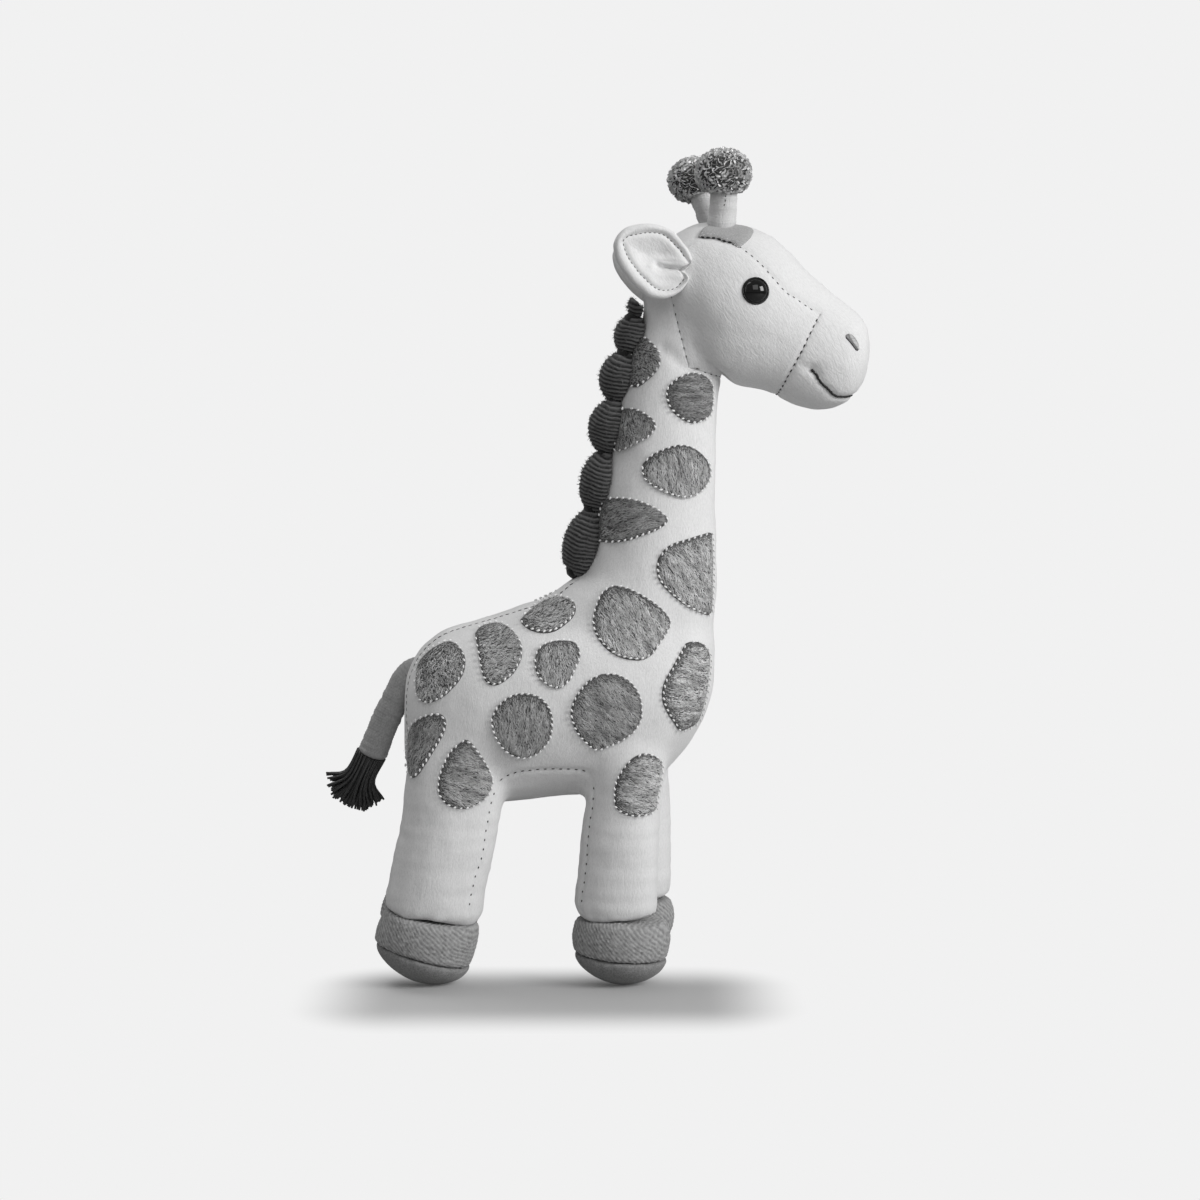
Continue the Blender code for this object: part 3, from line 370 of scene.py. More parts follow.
def plane_line(piece, at, way, near):
    """The line in which a plane cuts a skin, as points in order, through the one next to a place."""
    bm, links = opened(piece.data), {}
    for edge in cut(bm, at, way):
        for corner in edge.verts:
            links.setdefault(corner, []).append(edge)
    line, seen = [], set()
    corner = min(links, key=lambda v: (v.co - near).length)
    while corner is not None:
        seen.add(corner)
        line.append(corner.co.copy())
        onward = [e.other_vert(corner) for e in links[corner]]
        corner = next((v for v in onward if v not in seen), None)
    bm.free()
    return line


def square_to(way):
    return Vector((way.z, 0, -way.x)).normalized()


across_muzzle = square_to(MUZZLE_AT - MUZZLE_FROM)
across_cheek = square_to(CHEEK_TOP - CHEEK_LOW)


def stretch(line, kept):
    """The stretch of a closed line that is kept, from its one end to the other."""
    line = [p for p in line if kept(p)]
    for k, (a, b) in enumerate(zip(line, line[1:])):
        if (a - b).length > LINE_BREAK:
            return line[k + 1 :] + line[: k + 1]
    return line


muzzle_line = stretch(plane_line(skin, MUZZLE_AT, across_muzzle, MUZZLE_AT), lambda p: p.z < MUZZLE_TOP)
cheek_line = stretch(plane_line(skin, CHEEK_TOP, across_cheek, CHEEK_LOW), lambda p: p.z > CHEEK_END)
jaw_line = stretch(plane_line(skin, JAW_AT, JAW_WAY, JAW_AT), lambda p: p.x > JAW_BACK)


def sink(piece, lines, depth, width):
    """Draws the skin in along seam lines."""
    corners = corners_of(piece.data)
    pull = np.zeros(len(corners))
    for line in lines:
        pull = np.maximum(pull, np.exp(-((distance_to_line(corners, line) / width) ** 2)))
    push_out(piece, -pull * depth)


# The cloth ripples a little between its seams before they are drawn in, most on the legs.
LEGS_UP_TO, LEGS_BLEND = 90 * MM, 20 * MM
corners = corners_of(skin.data)
ripple = np.empty(len(corners))
for k, corner in enumerate(corners):
    place = Vector(corner)
    legs = max(0.0, min(1.0, (LEGS_UP_TO - place.z) / LEGS_BLEND))
    ripple[k] = noise.noise(place * 75) * 0.34 + noise.noise(place * 190) * 0.14
    ripple[k] += legs * noise.noise(Vector((place.x * 40, place.y * 40, place.z * 260))) * 0.34
push_out(skin, ripple * MM)


def both_sides(line):
    line = curve_through(millimetres(line), 1 * MM)
    return [line, mirrored(line)]


skin_tree = surface(skin)
sewn = [[place for place, _ in laid_on(curve_through(line, 1 * MM), skin_tree)] for line in seams]
for lines, depth, width in (
    (sewn[:10] + [muzzle_line, cheek_line, jaw_line], 0.5, 1.1), (sewn[10:], 0.3, 1.0),
    (both_sides(MOUTH), 0.75, 1.5), (both_sides(MOUTH_FOLD), 0.4, 1.3), (both_sides(THROAT_FOLD), 1.5, 2.8),
    (both_sides(MOUTH_CORNER), 0.7, 3),
):
    sink(skin, lines, depth * MM, width * MM)
skin_tree = surface(skin)


def grey(value):
    return (value, value, value, 1)


def add_node(tree, kind, inputs=None, **settings):
    """A shader node. Each of its inputs is set to a value or linked to another node's output."""
    made = tree.nodes.new(f"ShaderNode{kind}")
    for name, value in settings.items():
        setattr(made, name, value)
    for name, value in (inputs or {}).items():
        if isinstance(value, bpy.types.NodeSocket):
            tree.links.new(value, made.inputs[name])
        else:
            made.inputs[name].default_value = value
    return made


def finish_of(name, colour, roughness, sheen, specular=0.2):
    made = bpy.data.materials.new(name)
    made.use_nodes = True
    inputs = made.node_tree.nodes["Principled BSDF"].inputs
    inputs["Base Color"].default_value = grey(colour)
    inputs["Roughness"].default_value = roughness
    inputs["Specular IOR Level"].default_value = specular
    inputs["Sheen Weight"].default_value = sheen
    inputs["Sheen Roughness"].default_value = 0.5
    return made


def grain(finish, size, stretch=(1, 1, 1), slant=0.0, detail=3, distortion=0.0):
    """A noise on the piece's own coordinates: its grain size in mm, how many times longer it
    is along each axis, and how far those axes lean over about Y in degrees."""
    tree = finish.node_tree
    place = add_node(tree, "TexCoord").outputs["Object"]
    way = {"Scale": stretch, "Rotation": (0, math.radians(slant), 0), "Vector": place}
    turn = add_node(tree, "Mapping", way, vector_type="TEXTURE").outputs["Vector"]
    noise_inputs = {"Scale": 1 / (size * MM), "Detail": detail, "Distortion": distortion, "Vector": turn}
    return add_node(tree, "TexNoise", noise_inputs).outputs["Fac"]


def shaded(finish, pattern, dark, light, low=0.35, high=0.65):
    """Colours a finish between two greys by a pattern."""
    tree = finish.node_tree
    ramp = add_node(tree, "ValToRGB", {"Fac": pattern})
    for stop, place, value in zip(ramp.color_ramp.elements, (low, high), (dark, light)):
        stop.position, stop.color = place, grey(value)
    tree.links.new(ramp.outputs["Color"], tree.nodes["Principled BSDF"].inputs["Base Color"])


def toned(name, colour, roughness, sheen, dark, light):
    """A finish between two greys by the tone stored on the mesh."""
    finish = finish_of(name, colour, roughness, sheen)
    tone = add_node(finish.node_tree, "Attribute", attribute_name="tone")
    shaded(finish, tone.outputs["Fac"], dark, light, 0.0, 1.0)
    return finish


def mottled(name, colour, roughness, sheen, size, dark, light, specular=0.2):
    """A finish that wavers between two greys, in patches of a size in mm."""
    finish = finish_of(name, colour, roughness, sheen, specular)
    shaded(finish, grain(finish, size), dark, light)
    return finish


def raised(finish, *patterns):
    """Relief from patterns, each with its strength and its depth in mm."""
    tree, under = finish.node_tree, {}
    for pattern, strength, depth in patterns:
        inputs = {"Strength": strength, "Distance": depth * MM, "Height": pattern, **under}
        under = {"Normal": add_node(tree, "Bump", inputs).outputs["Normal"]}
    tree.links.new(under["Normal"], tree.nodes["Principled BSDF"].inputs["Normal"])


def velour(name, colour, slant, strokes):
    """Near-white short pile, its strokes leaning from upright by slant degrees."""
    finish = finish_of(name, colour, 0.95, 0.15)
    nap = grain(finish, 0.45, (1, 1, 2.6), slant, detail=4, distortion=0.5)
    brushed = grain(finish, 1.3, (1, 1, 3.2), slant, detail=3, distortion=0.8)
    shaded(finish, nap, colour * 0.93, colour * 1.03, 0.3, 0.6)
    raised(finish, (brushed, strokes, 0.5), (nap, 0.5, 0.16))
    return finish


white_velour = velour("white_velour", 0.80, 8, 0.32)
head_velour = velour("head_velour", 0.78, -32, 0.5)


def in_head(at):
    return (at - CHEEK_TOP).dot(across_cheek) > 0 and (at.x > JAW_FRONT or (at - JAW_AT).dot(JAW_WAY) > 0)


def in_muzzle(at):
    return in_head(at) and (at - MUZZLE_AT).dot(across_muzzle) > 0


def panel(name, finish, belongs):
    """The panel of the skin whose places belong to it."""
    bm = opened(skin.data)
    for at, way in ((CHEEK_TOP, across_cheek), (JAW_AT, JAW_WAY), (MUZZLE_AT, across_muzzle)):
        cut(bm, at, way)
    bmesh.ops.delete(bm, geom=[f for f in bm.faces if not belongs(f.calc_center_median())], context="FACES")
    bmesh.ops.remove_doubles(bm, verts=bm.verts, dist=0.02 * MM)
    bm.normal_update()
    edge = [e for e in bm.edges if e.is_boundary and (e.verts[0].co.z < MUZZLE_TOP or e.verts[0].co.x < MUZZLE_BACK)]
    for _ in range(2):
        turned = bmesh.ops.extrude_edge_only(bm, edges=edge)["geom"]
        for corner in (g for g in turned if isinstance(g, bmesh.types.BMVert)):
            near = min((e.other_vert(corner) for e in corner.link_edges), key=lambda v: (v.co - corner.co).length)
            corner.co -= near.normal * TURNED_IN
        edge = [g for g in turned if isinstance(g, bmesh.types.BMEdge) and all(v in turned for v in g.verts)]
    mesh = mesh_from(name, bm)
    mesh.shade_smooth()
    return add_piece(name, mesh, finish)


def placed(piece, body, stands_for=()):
    """Hides the nodes a piece stands for and hangs the piece on the body that carries it. A piece
    given two bodies to bend between is only fixed where it stands; nothing makes it bend."""
    if stands_for:
        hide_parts(*stands_for)
    if isinstance(body, str):
        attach(piece, body)
    else:
        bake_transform(piece)


body_cloth = panel("body_cloth", white_velour, lambda at: not in_head(at))
placed(body_cloth, NECK, ["torso", "belly_panel", "neck", *(f"leg_{leg}" for leg in LEGS)])
head_cloth = panel("head_cloth", head_velour, lambda at: in_head(at) and not in_muzzle(at))
placed(head_cloth, NECK, ["head"])
muzzle_cloth = panel("muzzle_cloth", head_velour, in_muzzle)
placed(muzzle_cloth, "head", ["muzzle"])
bpy.data.objects.remove(skin)


# Running stitches: dark thread that comes up for about a millimetre and dives again. The
# same small bead of thread, laid many times along each seam.
dark_thread = mottled("dark_thread", 0.02, 0.7, 0.1, 0.3, 0.012, 0.04)


def bead(sides, length, thickness):
    """A short length of thread that lies along X, as a small closed bead."""
    bm = bmesh.new()
    bmesh.ops.create_uvsphere(bm, u_segments=sides, v_segments=5, radius=0.5)
    bmesh.ops.rotate(bm, verts=bm.verts, matrix=Matrix.Rotation(math.pi / 2, 3, "Y"))
    bmesh.ops.scale(bm, verts=bm.verts, vec=(length, thickness, thickness))
    return bm


def store_tone(mesh, tones):
    layer = mesh.attributes.new("tone", "FLOAT", "POINT")
    layer.data.foreach_set("value", np.asarray(tones, np.float32).ravel())


def repeated(name, pattern, places, finish=None, tones=None):
    """One mesh with a small shape at every place. A place is a 4 by 4 matrix."""
    pattern.verts.index_update()
    shape = np.array([list(v.co) for v in pattern.verts])
    rings = [[v.index for v in f.verts] for f in pattern.faces]
    places = np.array([[list(row) for row in place] for place in places])
    corners = np.einsum("nij,kj->nki", places[:, :3, :3], shape) + places[:, None, :3, 3]
    count, size = len(places), len(shape)
    sizes = np.array([len(r) for r in rings])
    flat = np.array([i for r in rings for i in r])
    loops = (flat[None, :] + (np.arange(count) * size)[:, None]).ravel()
    totals = np.tile(sizes, count)
    mesh = bpy.data.meshes.new(name)
    mesh.vertices.add(count * size)
    mesh.vertices.foreach_set("co", corners.astype(np.float32).ravel())
    mesh.loops.add(len(loops))
    mesh.loops.foreach_set("vertex_index", loops.astype(np.int32))
    mesh.polygons.add(len(totals))
    mesh.polygons.foreach_set("loop_start", (np.cumsum(totals) - totals).astype(np.int32))
    mesh.update(calc_edges=True)
    mesh.validate()
    mesh.shade_smooth()
    if tones is not None:
        store_tone(mesh, tones)
    return add_piece(name, mesh, *([finish] if finish else []))


def frame_at(place, along, out, size=1.0):
    """A stand on the skin: X along, Z out of the cloth."""
    along = (along - out * along.dot(out)).normalized()
    beside = out.cross(along)
    stand = Matrix((along, beside, out)).transposed().to_4x4()
    return Matrix.Translation(place) @ stand @ Matrix.Scale(size, 4)


def stitched(name, body, lines, gap, length, thickness, lift=0.0, tree=None, sides=6):
    """A row of dark stitches along each line, all sizes in mm."""
    places = []
    for line in lines:
        laid = laid_on(curve_through(line, gap * MM), tree or skin_tree)
        for (before, _), (place, out), (after, _) in zip(laid, laid[1:], laid[2:]):
            if (after - before).length > 1e-6:
                places.append(frame_at(place + out * (lift * MM), after - before, out))
    row = repeated(name, bead(sides, length * MM, thickness * MM), places, dark_thread)
    placed(row, body)


stitched("body_stitches", "torso", seams[:2], 3, 1.3, 0.45, 0.08)
stitched("leg_stitches", "torso", seams[2:6], 3.7, 0.95, 0.55, 0.08)
stitched("gusset_stitches", "head", [line[5:] for line in seams[6:8]], 2.9, 1.2, 0.42, 0.05)
stitched("back_stitches", "torso", seams[8:10], 2.6, 1.7, 0.5)
stitched("muzzle_stitches", "head", [muzzle_line], 2.9, 1.5, 0.55, 0.1)
stitched("cheek_stitches", NECK, [cheek_line, jaw_line], 3.4, 1.1, 0.36)


# Spots: patches of longer grey pile, each brushed its own way, laid on the velour and whip
# stitched down all round with white thread. Outlines in mm along and up the right side,
# then how the pile is brushed in degrees, how flat it lies, and how much lighter or darker
# its pile is made, a painted light and shade for each spot. The left side mirrors them.
SPOTS = {
    "neck_top": (((18.6, 255.4), (21.5, 253.1), (24.1, 250.1), (25.6, 246.8), (25.6, 243.5), (23.8, 240.2),
        (20.8, 237.3), (17.6, 234.9), (15.2, 234.6), (13.2, 235.2), (12.9, 237.1), (14.7, 244.3), (16.9, 253.2)),
        -20, 0.5, 0.98),
    "throat": (((38.4, 240.5), (42.1, 239.7), (44.8, 237.6), (46.1, 234.6), (46.2, 229.8), (45.8, 225.6),
        (44.1, 222.7), (40.3, 220.9), (37, 220.8), (33.1, 222.7), (29.5, 226.2), (27.9, 230.4), (28.2, 234),
        (30.6, 237), (34.2, 239.3)), 0, 0.9, 0.62),
    "neck_upper": (((12.8, 226.5), (16.4, 226.2), (19.9, 224.5), (22.9, 222.1), (24, 219.7), (23.2, 217.4),
        (20.5, 214.7), (17, 212.9), (13.4, 211), (10.4, 209.8), (8.6, 210), (9.5, 217.8), (11, 225.6)), -60, 0.5, 0.88),
    "neck_high": (((18.7, 204.9), (22.3, 208.4), (27.1, 210.8), (32.4, 212.3), (37.3, 211.7), (41.6, 208.9),
        (44.5, 205.3), (45.5, 201.6), (44.8, 198), (42.3, 194.5), (38.5, 192.2), (33.7, 191.8), (28.3, 193.3),
        (23.5, 195.6), (19.9, 198.3), (18.5, 201.9)), -75, 0.8, 1),
    "neck_middle": (((4.4, 191), (9.8, 191.6), (15.2, 191.1), (19.9, 189.7), (24.7, 187.3), (27.7, 184.7),
        (28.7, 182.9), (27.1, 180.8), (23.5, 178.7), (18.7, 176.9), (13.4, 175), (7.4, 173.9), (3.2, 174),
        (0.8, 174.9), (2.1, 182.8), (3.8, 190.1)), 12, 0.7, 0.95),
    "neck_low": (((24.6, 168.1), (27.1, 171.7), (30.6, 174), (36.1, 175.6), (42.3, 177.2), (45.8, 177.5),
        (46.2, 173.8), (46.5, 166.7), (46.5, 153.5), (46.1, 146.2), (45, 144.7), (41.9, 146.1), (37.1, 148.5),
        (33.1, 151.3), (29.2, 154.7), (25.3, 159.3), (24, 163.8)), -55, 0.7, 1.2),
    "shoulder": (((7.8, 157.8), (12.3, 157), (17.5, 154.8), (22.7, 151.6), (26.6, 148.3), (29.2, 144.9),
        (29.5, 142.3), (27.9, 138.5), (25.3, 134.9), (22.6, 131.3), (18.7, 129.2), (13.6, 129.3), (8.4, 130.9),
        (4, 133.9), (0.7, 138.2), (-0.7, 142.6), (-0.2, 147.6), (2, 153.3), (4.6, 156.2)), -58, 0.85, 1.28),
    "chest": (((35.7, 135.1), (38.4, 135.5), (41.8, 134.6), (44.4, 131.7), (45.2, 128.4), (44.8, 121.3),
        (43.4, 112.8), (41.8, 106.1), (40, 102.6), (36.5, 101.2), (33.2, 100.7), (31.1, 103.8), (28.4, 108.1),
        (26.4, 112.8), (26.1, 117.4), (27.4, 121.8), (30.4, 126.7), (33.7, 132.1)), -8, 0.95, 1.35),
    "ribs": (((2.7, 124.4), (7.8, 124.4), (12.3, 122.5), (15.5, 119.6), (17.7, 115.7), (18.4, 111.2), (18.1, 106.6),
        (15.5, 102), (11.7, 98.8), (6.5, 96.2), (0.7, 94.5), (-3.7, 97.7), (-6.9, 101.7), (-8.9, 106.4),
        (-9.2, 110.9), (-7.6, 115.4), (-5, 119.1), (-1.8, 122.3)), -40, 0.7, 0.92),
    "foreleg": (((14.9, 91.7), (18.7, 93.1), (22.7, 92.2), (25.6, 89.5), (26.1, 86.1), (25.3, 80.3), (24, 73.9),
        (23.7, 70.7), (20.7, 69.1), (15.5, 68.8), (11, 70), (8.1, 72.5), (7.7, 76.9), (8.1, 81.4), (9.7, 85.3),
        (12.3, 89.2)), -12, 0.85, 1.35),
    "withers": (((-29.3, 143.4), (-26.4, 146.1), (-22.9, 148.6), (-18.1, 151), (-13.1, 152.4), (-8.8, 151.6),
        (-7.3, 148.8), (-8.2, 145.4), (-11.2, 142.5), (-15.3, 139.9), (-20.1, 139.1), (-24.9, 140.1), (-28, 141.8)),
        0, 0.35, 2.2),
    "back": (((-47.1, 138.1), (-45.2, 140.2), (-41.6, 141.6), (-37.3, 142.1), (-33.4, 140.8), (-30.3, 138.3),
        (-28.4, 135.1), (-28, 131.2), (-29.4, 127.2), (-31.7, 123.8), (-35.3, 120.9), (-38.2, 119.7), (-41.2, 120.2),
        (-43, 122.5), (-44, 125.8), (-45.4, 131.9)), 0, 0.3, 2),
    "side": (((-23.2, 129.5), (-22.1, 132.9), (-19.4, 135.2), (-15.3, 136.4), (-11.1, 136.6), (-7.5, 135.8),
        (-5.7, 133), (-5.7, 129.6), (-7.5, 125.7), (-9.2, 122.2), (-12.2, 119.3), (-14.6, 118.8), (-18.1, 119.9),
        (-21.1, 122.2), (-22.9, 125.6)), -75, 0.8, 1),
    "rump": (((-70.2, 120.8), (-69.6, 125.8), (-66.3, 130), (-62, 133.1), (-57.1, 135), (-53.2, 133.7),
        (-50.5, 130.1), (-50.4, 125.6), (-52.1, 121.6), (-55, 118.1), (-58.6, 114.8), (-62.9, 112.5), (-66.7, 112.1),
        (-69.2, 114.2), (-70, 117.5)), -60, 0.4, 1.3),
    "flank": (((-40, 106.9), (-38.2, 111), (-34.6, 114.6), (-30.5, 116.7), (-25.7, 117), (-21.6, 115.9),
        (-18.1, 112.9), (-16.3, 108.8), (-16, 104.6), (-16.9, 99.7), (-19.3, 96), (-22.9, 92.8), (-27.1, 91.5),
        (-31.2, 92.2), (-34.8, 94.7), (-37.7, 98.4), (-39.4, 102.7)), -84, 0.8, 0.9),
    "haunch": (((-73, 99.1), (-71.2, 103.2), (-67.9, 106.1), (-63.5, 108), (-59.8, 108.3), (-57.6, 106.3),
        (-57.7, 102.8), (-59.8, 98), (-62.8, 93.1), (-65.8, 88.3), (-68.3, 84.6), (-70.8, 82.7), (-72.2, 83.9),
        (-73.8, 89.5)), -110, 0.6, 0.8),
    "thigh": (((-52.6, 97), (-50.2, 98.8), (-47.8, 97.7), (-44.9, 94), (-42, 89), (-40, 83.4), (-40.3, 79.8),
        (-42.3, 75.7), (-46.1, 73.1), (-50.2, 71.8), (-54.3, 72.2), (-57.9, 74), (-60.3, 77.5), (-60.6, 82.2),
        (-59.4, 86.9), (-57.3, 91.6), (-54.9, 95.2)), -20, 0.9, 1.08),
}
PILE_PER_MM2 = 6
PILE_LENGTH = 2.5 * MM
PILE_WIDTH = 0.27 * MM
WHIP_SHARE, WHIP_GAP, WHIP_LIFT = 0.97, 2.35 * MM, 1.2 * MM
# The ground under the locks is dark grey: partly its own colour, partly painted shade that shows between the locks and
# at the sewn edge.
pile_ground_and_shade = mottled("pile_ground_and_shade", 0.12, 1.0, 0.2, 0.4, 0.06, 0.16)
grey_pile = toned("grey_pile", 0.3, 0.85, 0.2, 0.05, 0.92)
white_thread = mottled("white_thread", 0.9, 0.4, 0.1, 0.25, 0.82, 0.95)


def tuft(length, width, bend):
    """One lock of pile: rooted at the origin, it rises and bends over along X."""
    bm = bmesh.new()
    bmesh.ops.create_grid(bm, x_segments=2, y_segments=1, size=0.5)
    for corner in bm.verts:
        share = corner.co.x + 0.5
        wide = corner.co.y * width * (1.0, 0.9, 0.12)[round(share * 2)]
        angle = math.radians(90 - bend * 70 * share - bend * 15)
        corner.co = (math.cos(angle) * length * share, wide, math.sin(angle) * length * share)
    return bm


def on_side(tree, x, z, side):
    """The skin at a place along and up one side."""
    place, out, _, _ = tree.ray_cast(Vector((x, side * 0.2, z)), Vector((0, -side, 0)))
    if place is None or abs(out.y) < 0.05:
        place, out, _, _ = tree.find_nearest(Vector((x, side * 12 * MM, z)))
    return place, out


def edges_round(bm, row):
    return [bm.edges.get(pair) for pair in zip(row, row[1:] + row[:1])]


def lofted(bm, rings, first_cap=True):
    """A skin through rings of places, closed at its ends."""
    row = bmesh.ops.create_circle(bm, segments=len(rings[0]), radius=1)["verts"]
    ends = [row] if first_cap else []
    for k, ring in enumerate(rings):
        if k:
            drawn = bmesh.ops.extrude_edge_only(bm, edges=edges_round(bm, row))["geom"]
            fresh = {g for g in drawn if isinstance(g, bmesh.types.BMVert)}
            row = [next(e.other_vert(v) for e in v.link_edges if e.other_vert(v) in fresh) for v in row]
        for corner, place in zip(row, ring):
            corner.co = place
    for end in [edges_round(bm, end) for end in (*ends, row)]:
        bmesh.ops.contextual_create(bm, geom=end)


def as_piece(name, bm, *finishes):
    bmesh.ops.recalc_face_normals(bm, faces=bm.faces)
    mesh = mesh_from(name, bm)
    mesh.shade_smooth()
    return add_piece(name, mesh, *finishes)


def lofted_piece(name, rings, *finishes, first_cap=True):
    bm = bmesh.new()
    lofted(bm, rings, first_cap)
    return as_piece(name, bm, *finishes)


def domed(name, ring, lay, rows, *finishes):
    """A patch cut to a ring. lay finds the skin at a place; each row is a share of the way out
    to the ring and how high the patch stands there in mm."""
    middle = sum(ring, Vector()) / len(ring)
    rings = []
    for share, lift in rows:
        rings.append(lifted([lay(middle.lerp(point, share)) for point in ring], lift))
    return lofted_piece(name, rings, *finishes, first_cap=False)


PATCH_ROWS = ((1.0, -0.3), (0.985, 0.4), (0.94, 0.75), (0.75, 0.95), (0.5, 1.0), (0.25, 1.0), (0.05, 1.0))


def pile_patch(
    name, ring, lay, up, brushed_way, flat, pale, chance, length=PILE_LENGTH, spread=0.955, root=0.25,
    ground=pile_ground_and_shade,
):
    """A patch covered with locks of pile. The brushed angle is counted from ALONG to up."""
    middle = sum(ring, Vector()) / len(ring)
    combed = math.radians(brushed_way)
    along = ALONG * math.cos(combed) + up * math.sin(combed)
    beside = up * math.cos(combed) - ALONG * math.sin(combed)
    patch = domed(name, ring, lay, PATCH_ROWS, grey_pile, ground)
    fans = list(zip(ring, ring[1:] + ring[:1]))
    sizes = [(a - middle).cross(b - middle).length / 2 for a, b in fans]
    places, tones = [], []
    for a, b in chance.choices(fans, sizes, k=int(sum(sizes) / MM**2 * PILE_PER_MM2)):
        share, part = math.sqrt(chance.random()) * spread, chance.random()
        at = middle + (a - middle) * share * (1 - part) + (b - middle) * share * part
        place, out = lay(at)
        streak = noise.noise(Vector((at.dot(along) * 120, at.dot(beside) * 640, brushed_way)))
        clump = streak * flat + noise.noise(at * 360) * (1 - flat)
        way = brushed_way + noise.noise(at * 150) * 50 * (1.2 - flat) + chance.gauss(0, 7 + 30 * (1 - flat))
        way = math.radians(way + noise.noise(at * 420) * 25)
        way = ALONG * math.cos(way) + up * math.sin(way)
        near_edge = max(0, share / spread - 0.78) / 0.22
        stand = frame_at(place + out * 0.45 * MM, way, out, chance.uniform(0.75, 1.2) * (1 - 0.55 * near_edge))
        places.append(stand @ Matrix.Rotation(math.radians(chance.uniform(-14, 14)), 4, "X"))
        own = 0.58 + 0.3 * (chance.random() - 0.5) + 0.5 * clump
        # Each lock is painted darker at its root and lighter at its tip: painted shade deep in the pile.
        tones.append([own * pale * height for height in (root, root, 0.8, 0.8, 1.1, 1.1)])
    lock = tuft(length, PILE_WIDTH, 0.5 + 0.5 * flat)
    rank = np.argsort(np.argsort([v.co.x + v.co.z for v in lock.verts], kind="stable"), kind="stable")
    hair = repeated(f"{name}_pile", lock, places, tones=np.array(tones)[:, rank])
    joined = opened(patch.data)
    for face in joined.faces:
        face.material_index = 1
    joined.from_mesh(hair.data)
    joined.to_mesh(patch.data)
    joined.free()
    bpy.data.objects.remove(hair)
    return patch


def whip_row(ring, lay, chance):
    """Places for stitches that lean over a patch's edge."""
    middle = sum(ring, Vector()) / len(ring)
    rim = curve_through([middle.lerp(p, WHIP_SHARE) for p in (*ring, ring[0])], WHIP_GAP)
    row = []
    for before, at, after in zip(rim, rim[1:], rim[2:] + rim[1:2]):
        place, out = lay(at)
        along = Matrix.Rotation(math.radians(chance.uniform(15, 40)), 3, out) @ (after - before)
        row.append(frame_at(place + out * WHIP_LIFT, along, out, chance.uniform(0.9, 1.1)))
    return row


for side, hand in HANDS:
    whips = {"torso": [], NECK: []}

    def lay(at):
        return on_side(skin_tree, at.x, at.z, side)

    for number, (spot, (outline, brushed_way, flat, pale)) in enumerate(SPOTS.items()):
        ring = curve_through(millimetres((*outline, outline[0])), 0.8 * MM)
        chance = random.Random(number * 2 + side)
        # Each spot's pile is made lighter or darker by its own factor: painted light and shade, not a dye.
        patch = pile_patch(f"patch_{spot}_{hand}", ring, lay, UP, brushed_way, flat, pale, chance)
        solid = f"spot_{spot}_{hand}"
        body = NECK if spot in ("neck_top", "throat") else "torso"
        placed(patch, body, [solid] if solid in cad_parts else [])
        whips[body] += whip_row(ring, lay, chance)
    for body, places in whips.items():
        name = f"whip_stitches_{'neck' if body == NECK else body}_{hand}"
        placed(repeated(name, bead(7, 1.45 * MM, 0.82 * MM), places, white_thread), body)


# Hoof cuffs and soles: a band of grey curly pile, its ridges running down aslant and drawn in
# at the top, and a darker suede pad under it, domed, that the toy stands on.
curly_pile = toned("curly_pile", 0.3, 0.95, 0.2, 0.2, 0.5)
raised(curly_pile, (grain(curly_pile, 0.45, distortion=1.2), 0.6, 0.35))
sole_suede = finish_of("sole_suede", 0.2, 0.95, 0.2)
scuffed = grain(sole_suede, 0.6, detail=4)
shaded(sole_suede, scuffed, 0.19, 0.3)
raised(sole_suede, (scuffed, 0.5, 0.25))


def ridged(piece, gap, height, lean, wander, curl=0.0):
    """Raises wavy ridges, gap and height in mm, that go down to the right by lean degrees, and
    stores each corner's height on them as its tone: painted light and shade, lighter on the
    crests and darker in the troughs, in the finishes that read the tone."""
    corners = corners_of(piece.data)
    across, up = math.sin(math.radians(lean)), math.cos(math.radians(lean))
    lift = np.empty(len(corners))
    for k, corner in enumerate(corners):
        place = Vector(corner)
        run = place.x * across + place.z * up + abs(place.y) * 0.25
        wave = noise.noise(place * 110) * 2.4 + noise.noise(place * 420) * 0.7
        ridge = math.sin(2 * math.pi * run / (gap * MM) + wave * wander)
        lift[k] = ridge * (1 - curl) + noise.noise(place * 900) * curl * 1.6
    push_out(piece, lift * (height * MM))
    # Tone by height: crests painted lighter, troughs painted darker as shade.
    store_tone(piece.data, 0.5 + 0.5 * lift)


def way_at(line, k):
    """Which way a line runs at one of its places."""
    return (line[min(k + 1, len(line) - 1)] - line[max(k - 1, 0)]).normalized()


def turns(count):
    return [2 * math.pi * part / count for part in range(count)]


def cord(bm, line, radii, sides=6):
    """A cord along a line, with its own radius at each place."""
    rings, beside = [], None
    for k, (place, radius) in enumerate(zip(line, radii)):
        way = way_at(line, k)
        beside = way.orthogonal() if beside is None else beside
        beside = (beside - way * beside.dot(way)).normalized()
        other = way.cross(beside)
        rings.append([place + (beside * math.cos(t) + other * math.sin(t)) * radius for t in turns(sides)])
    lofted(bm, rings)


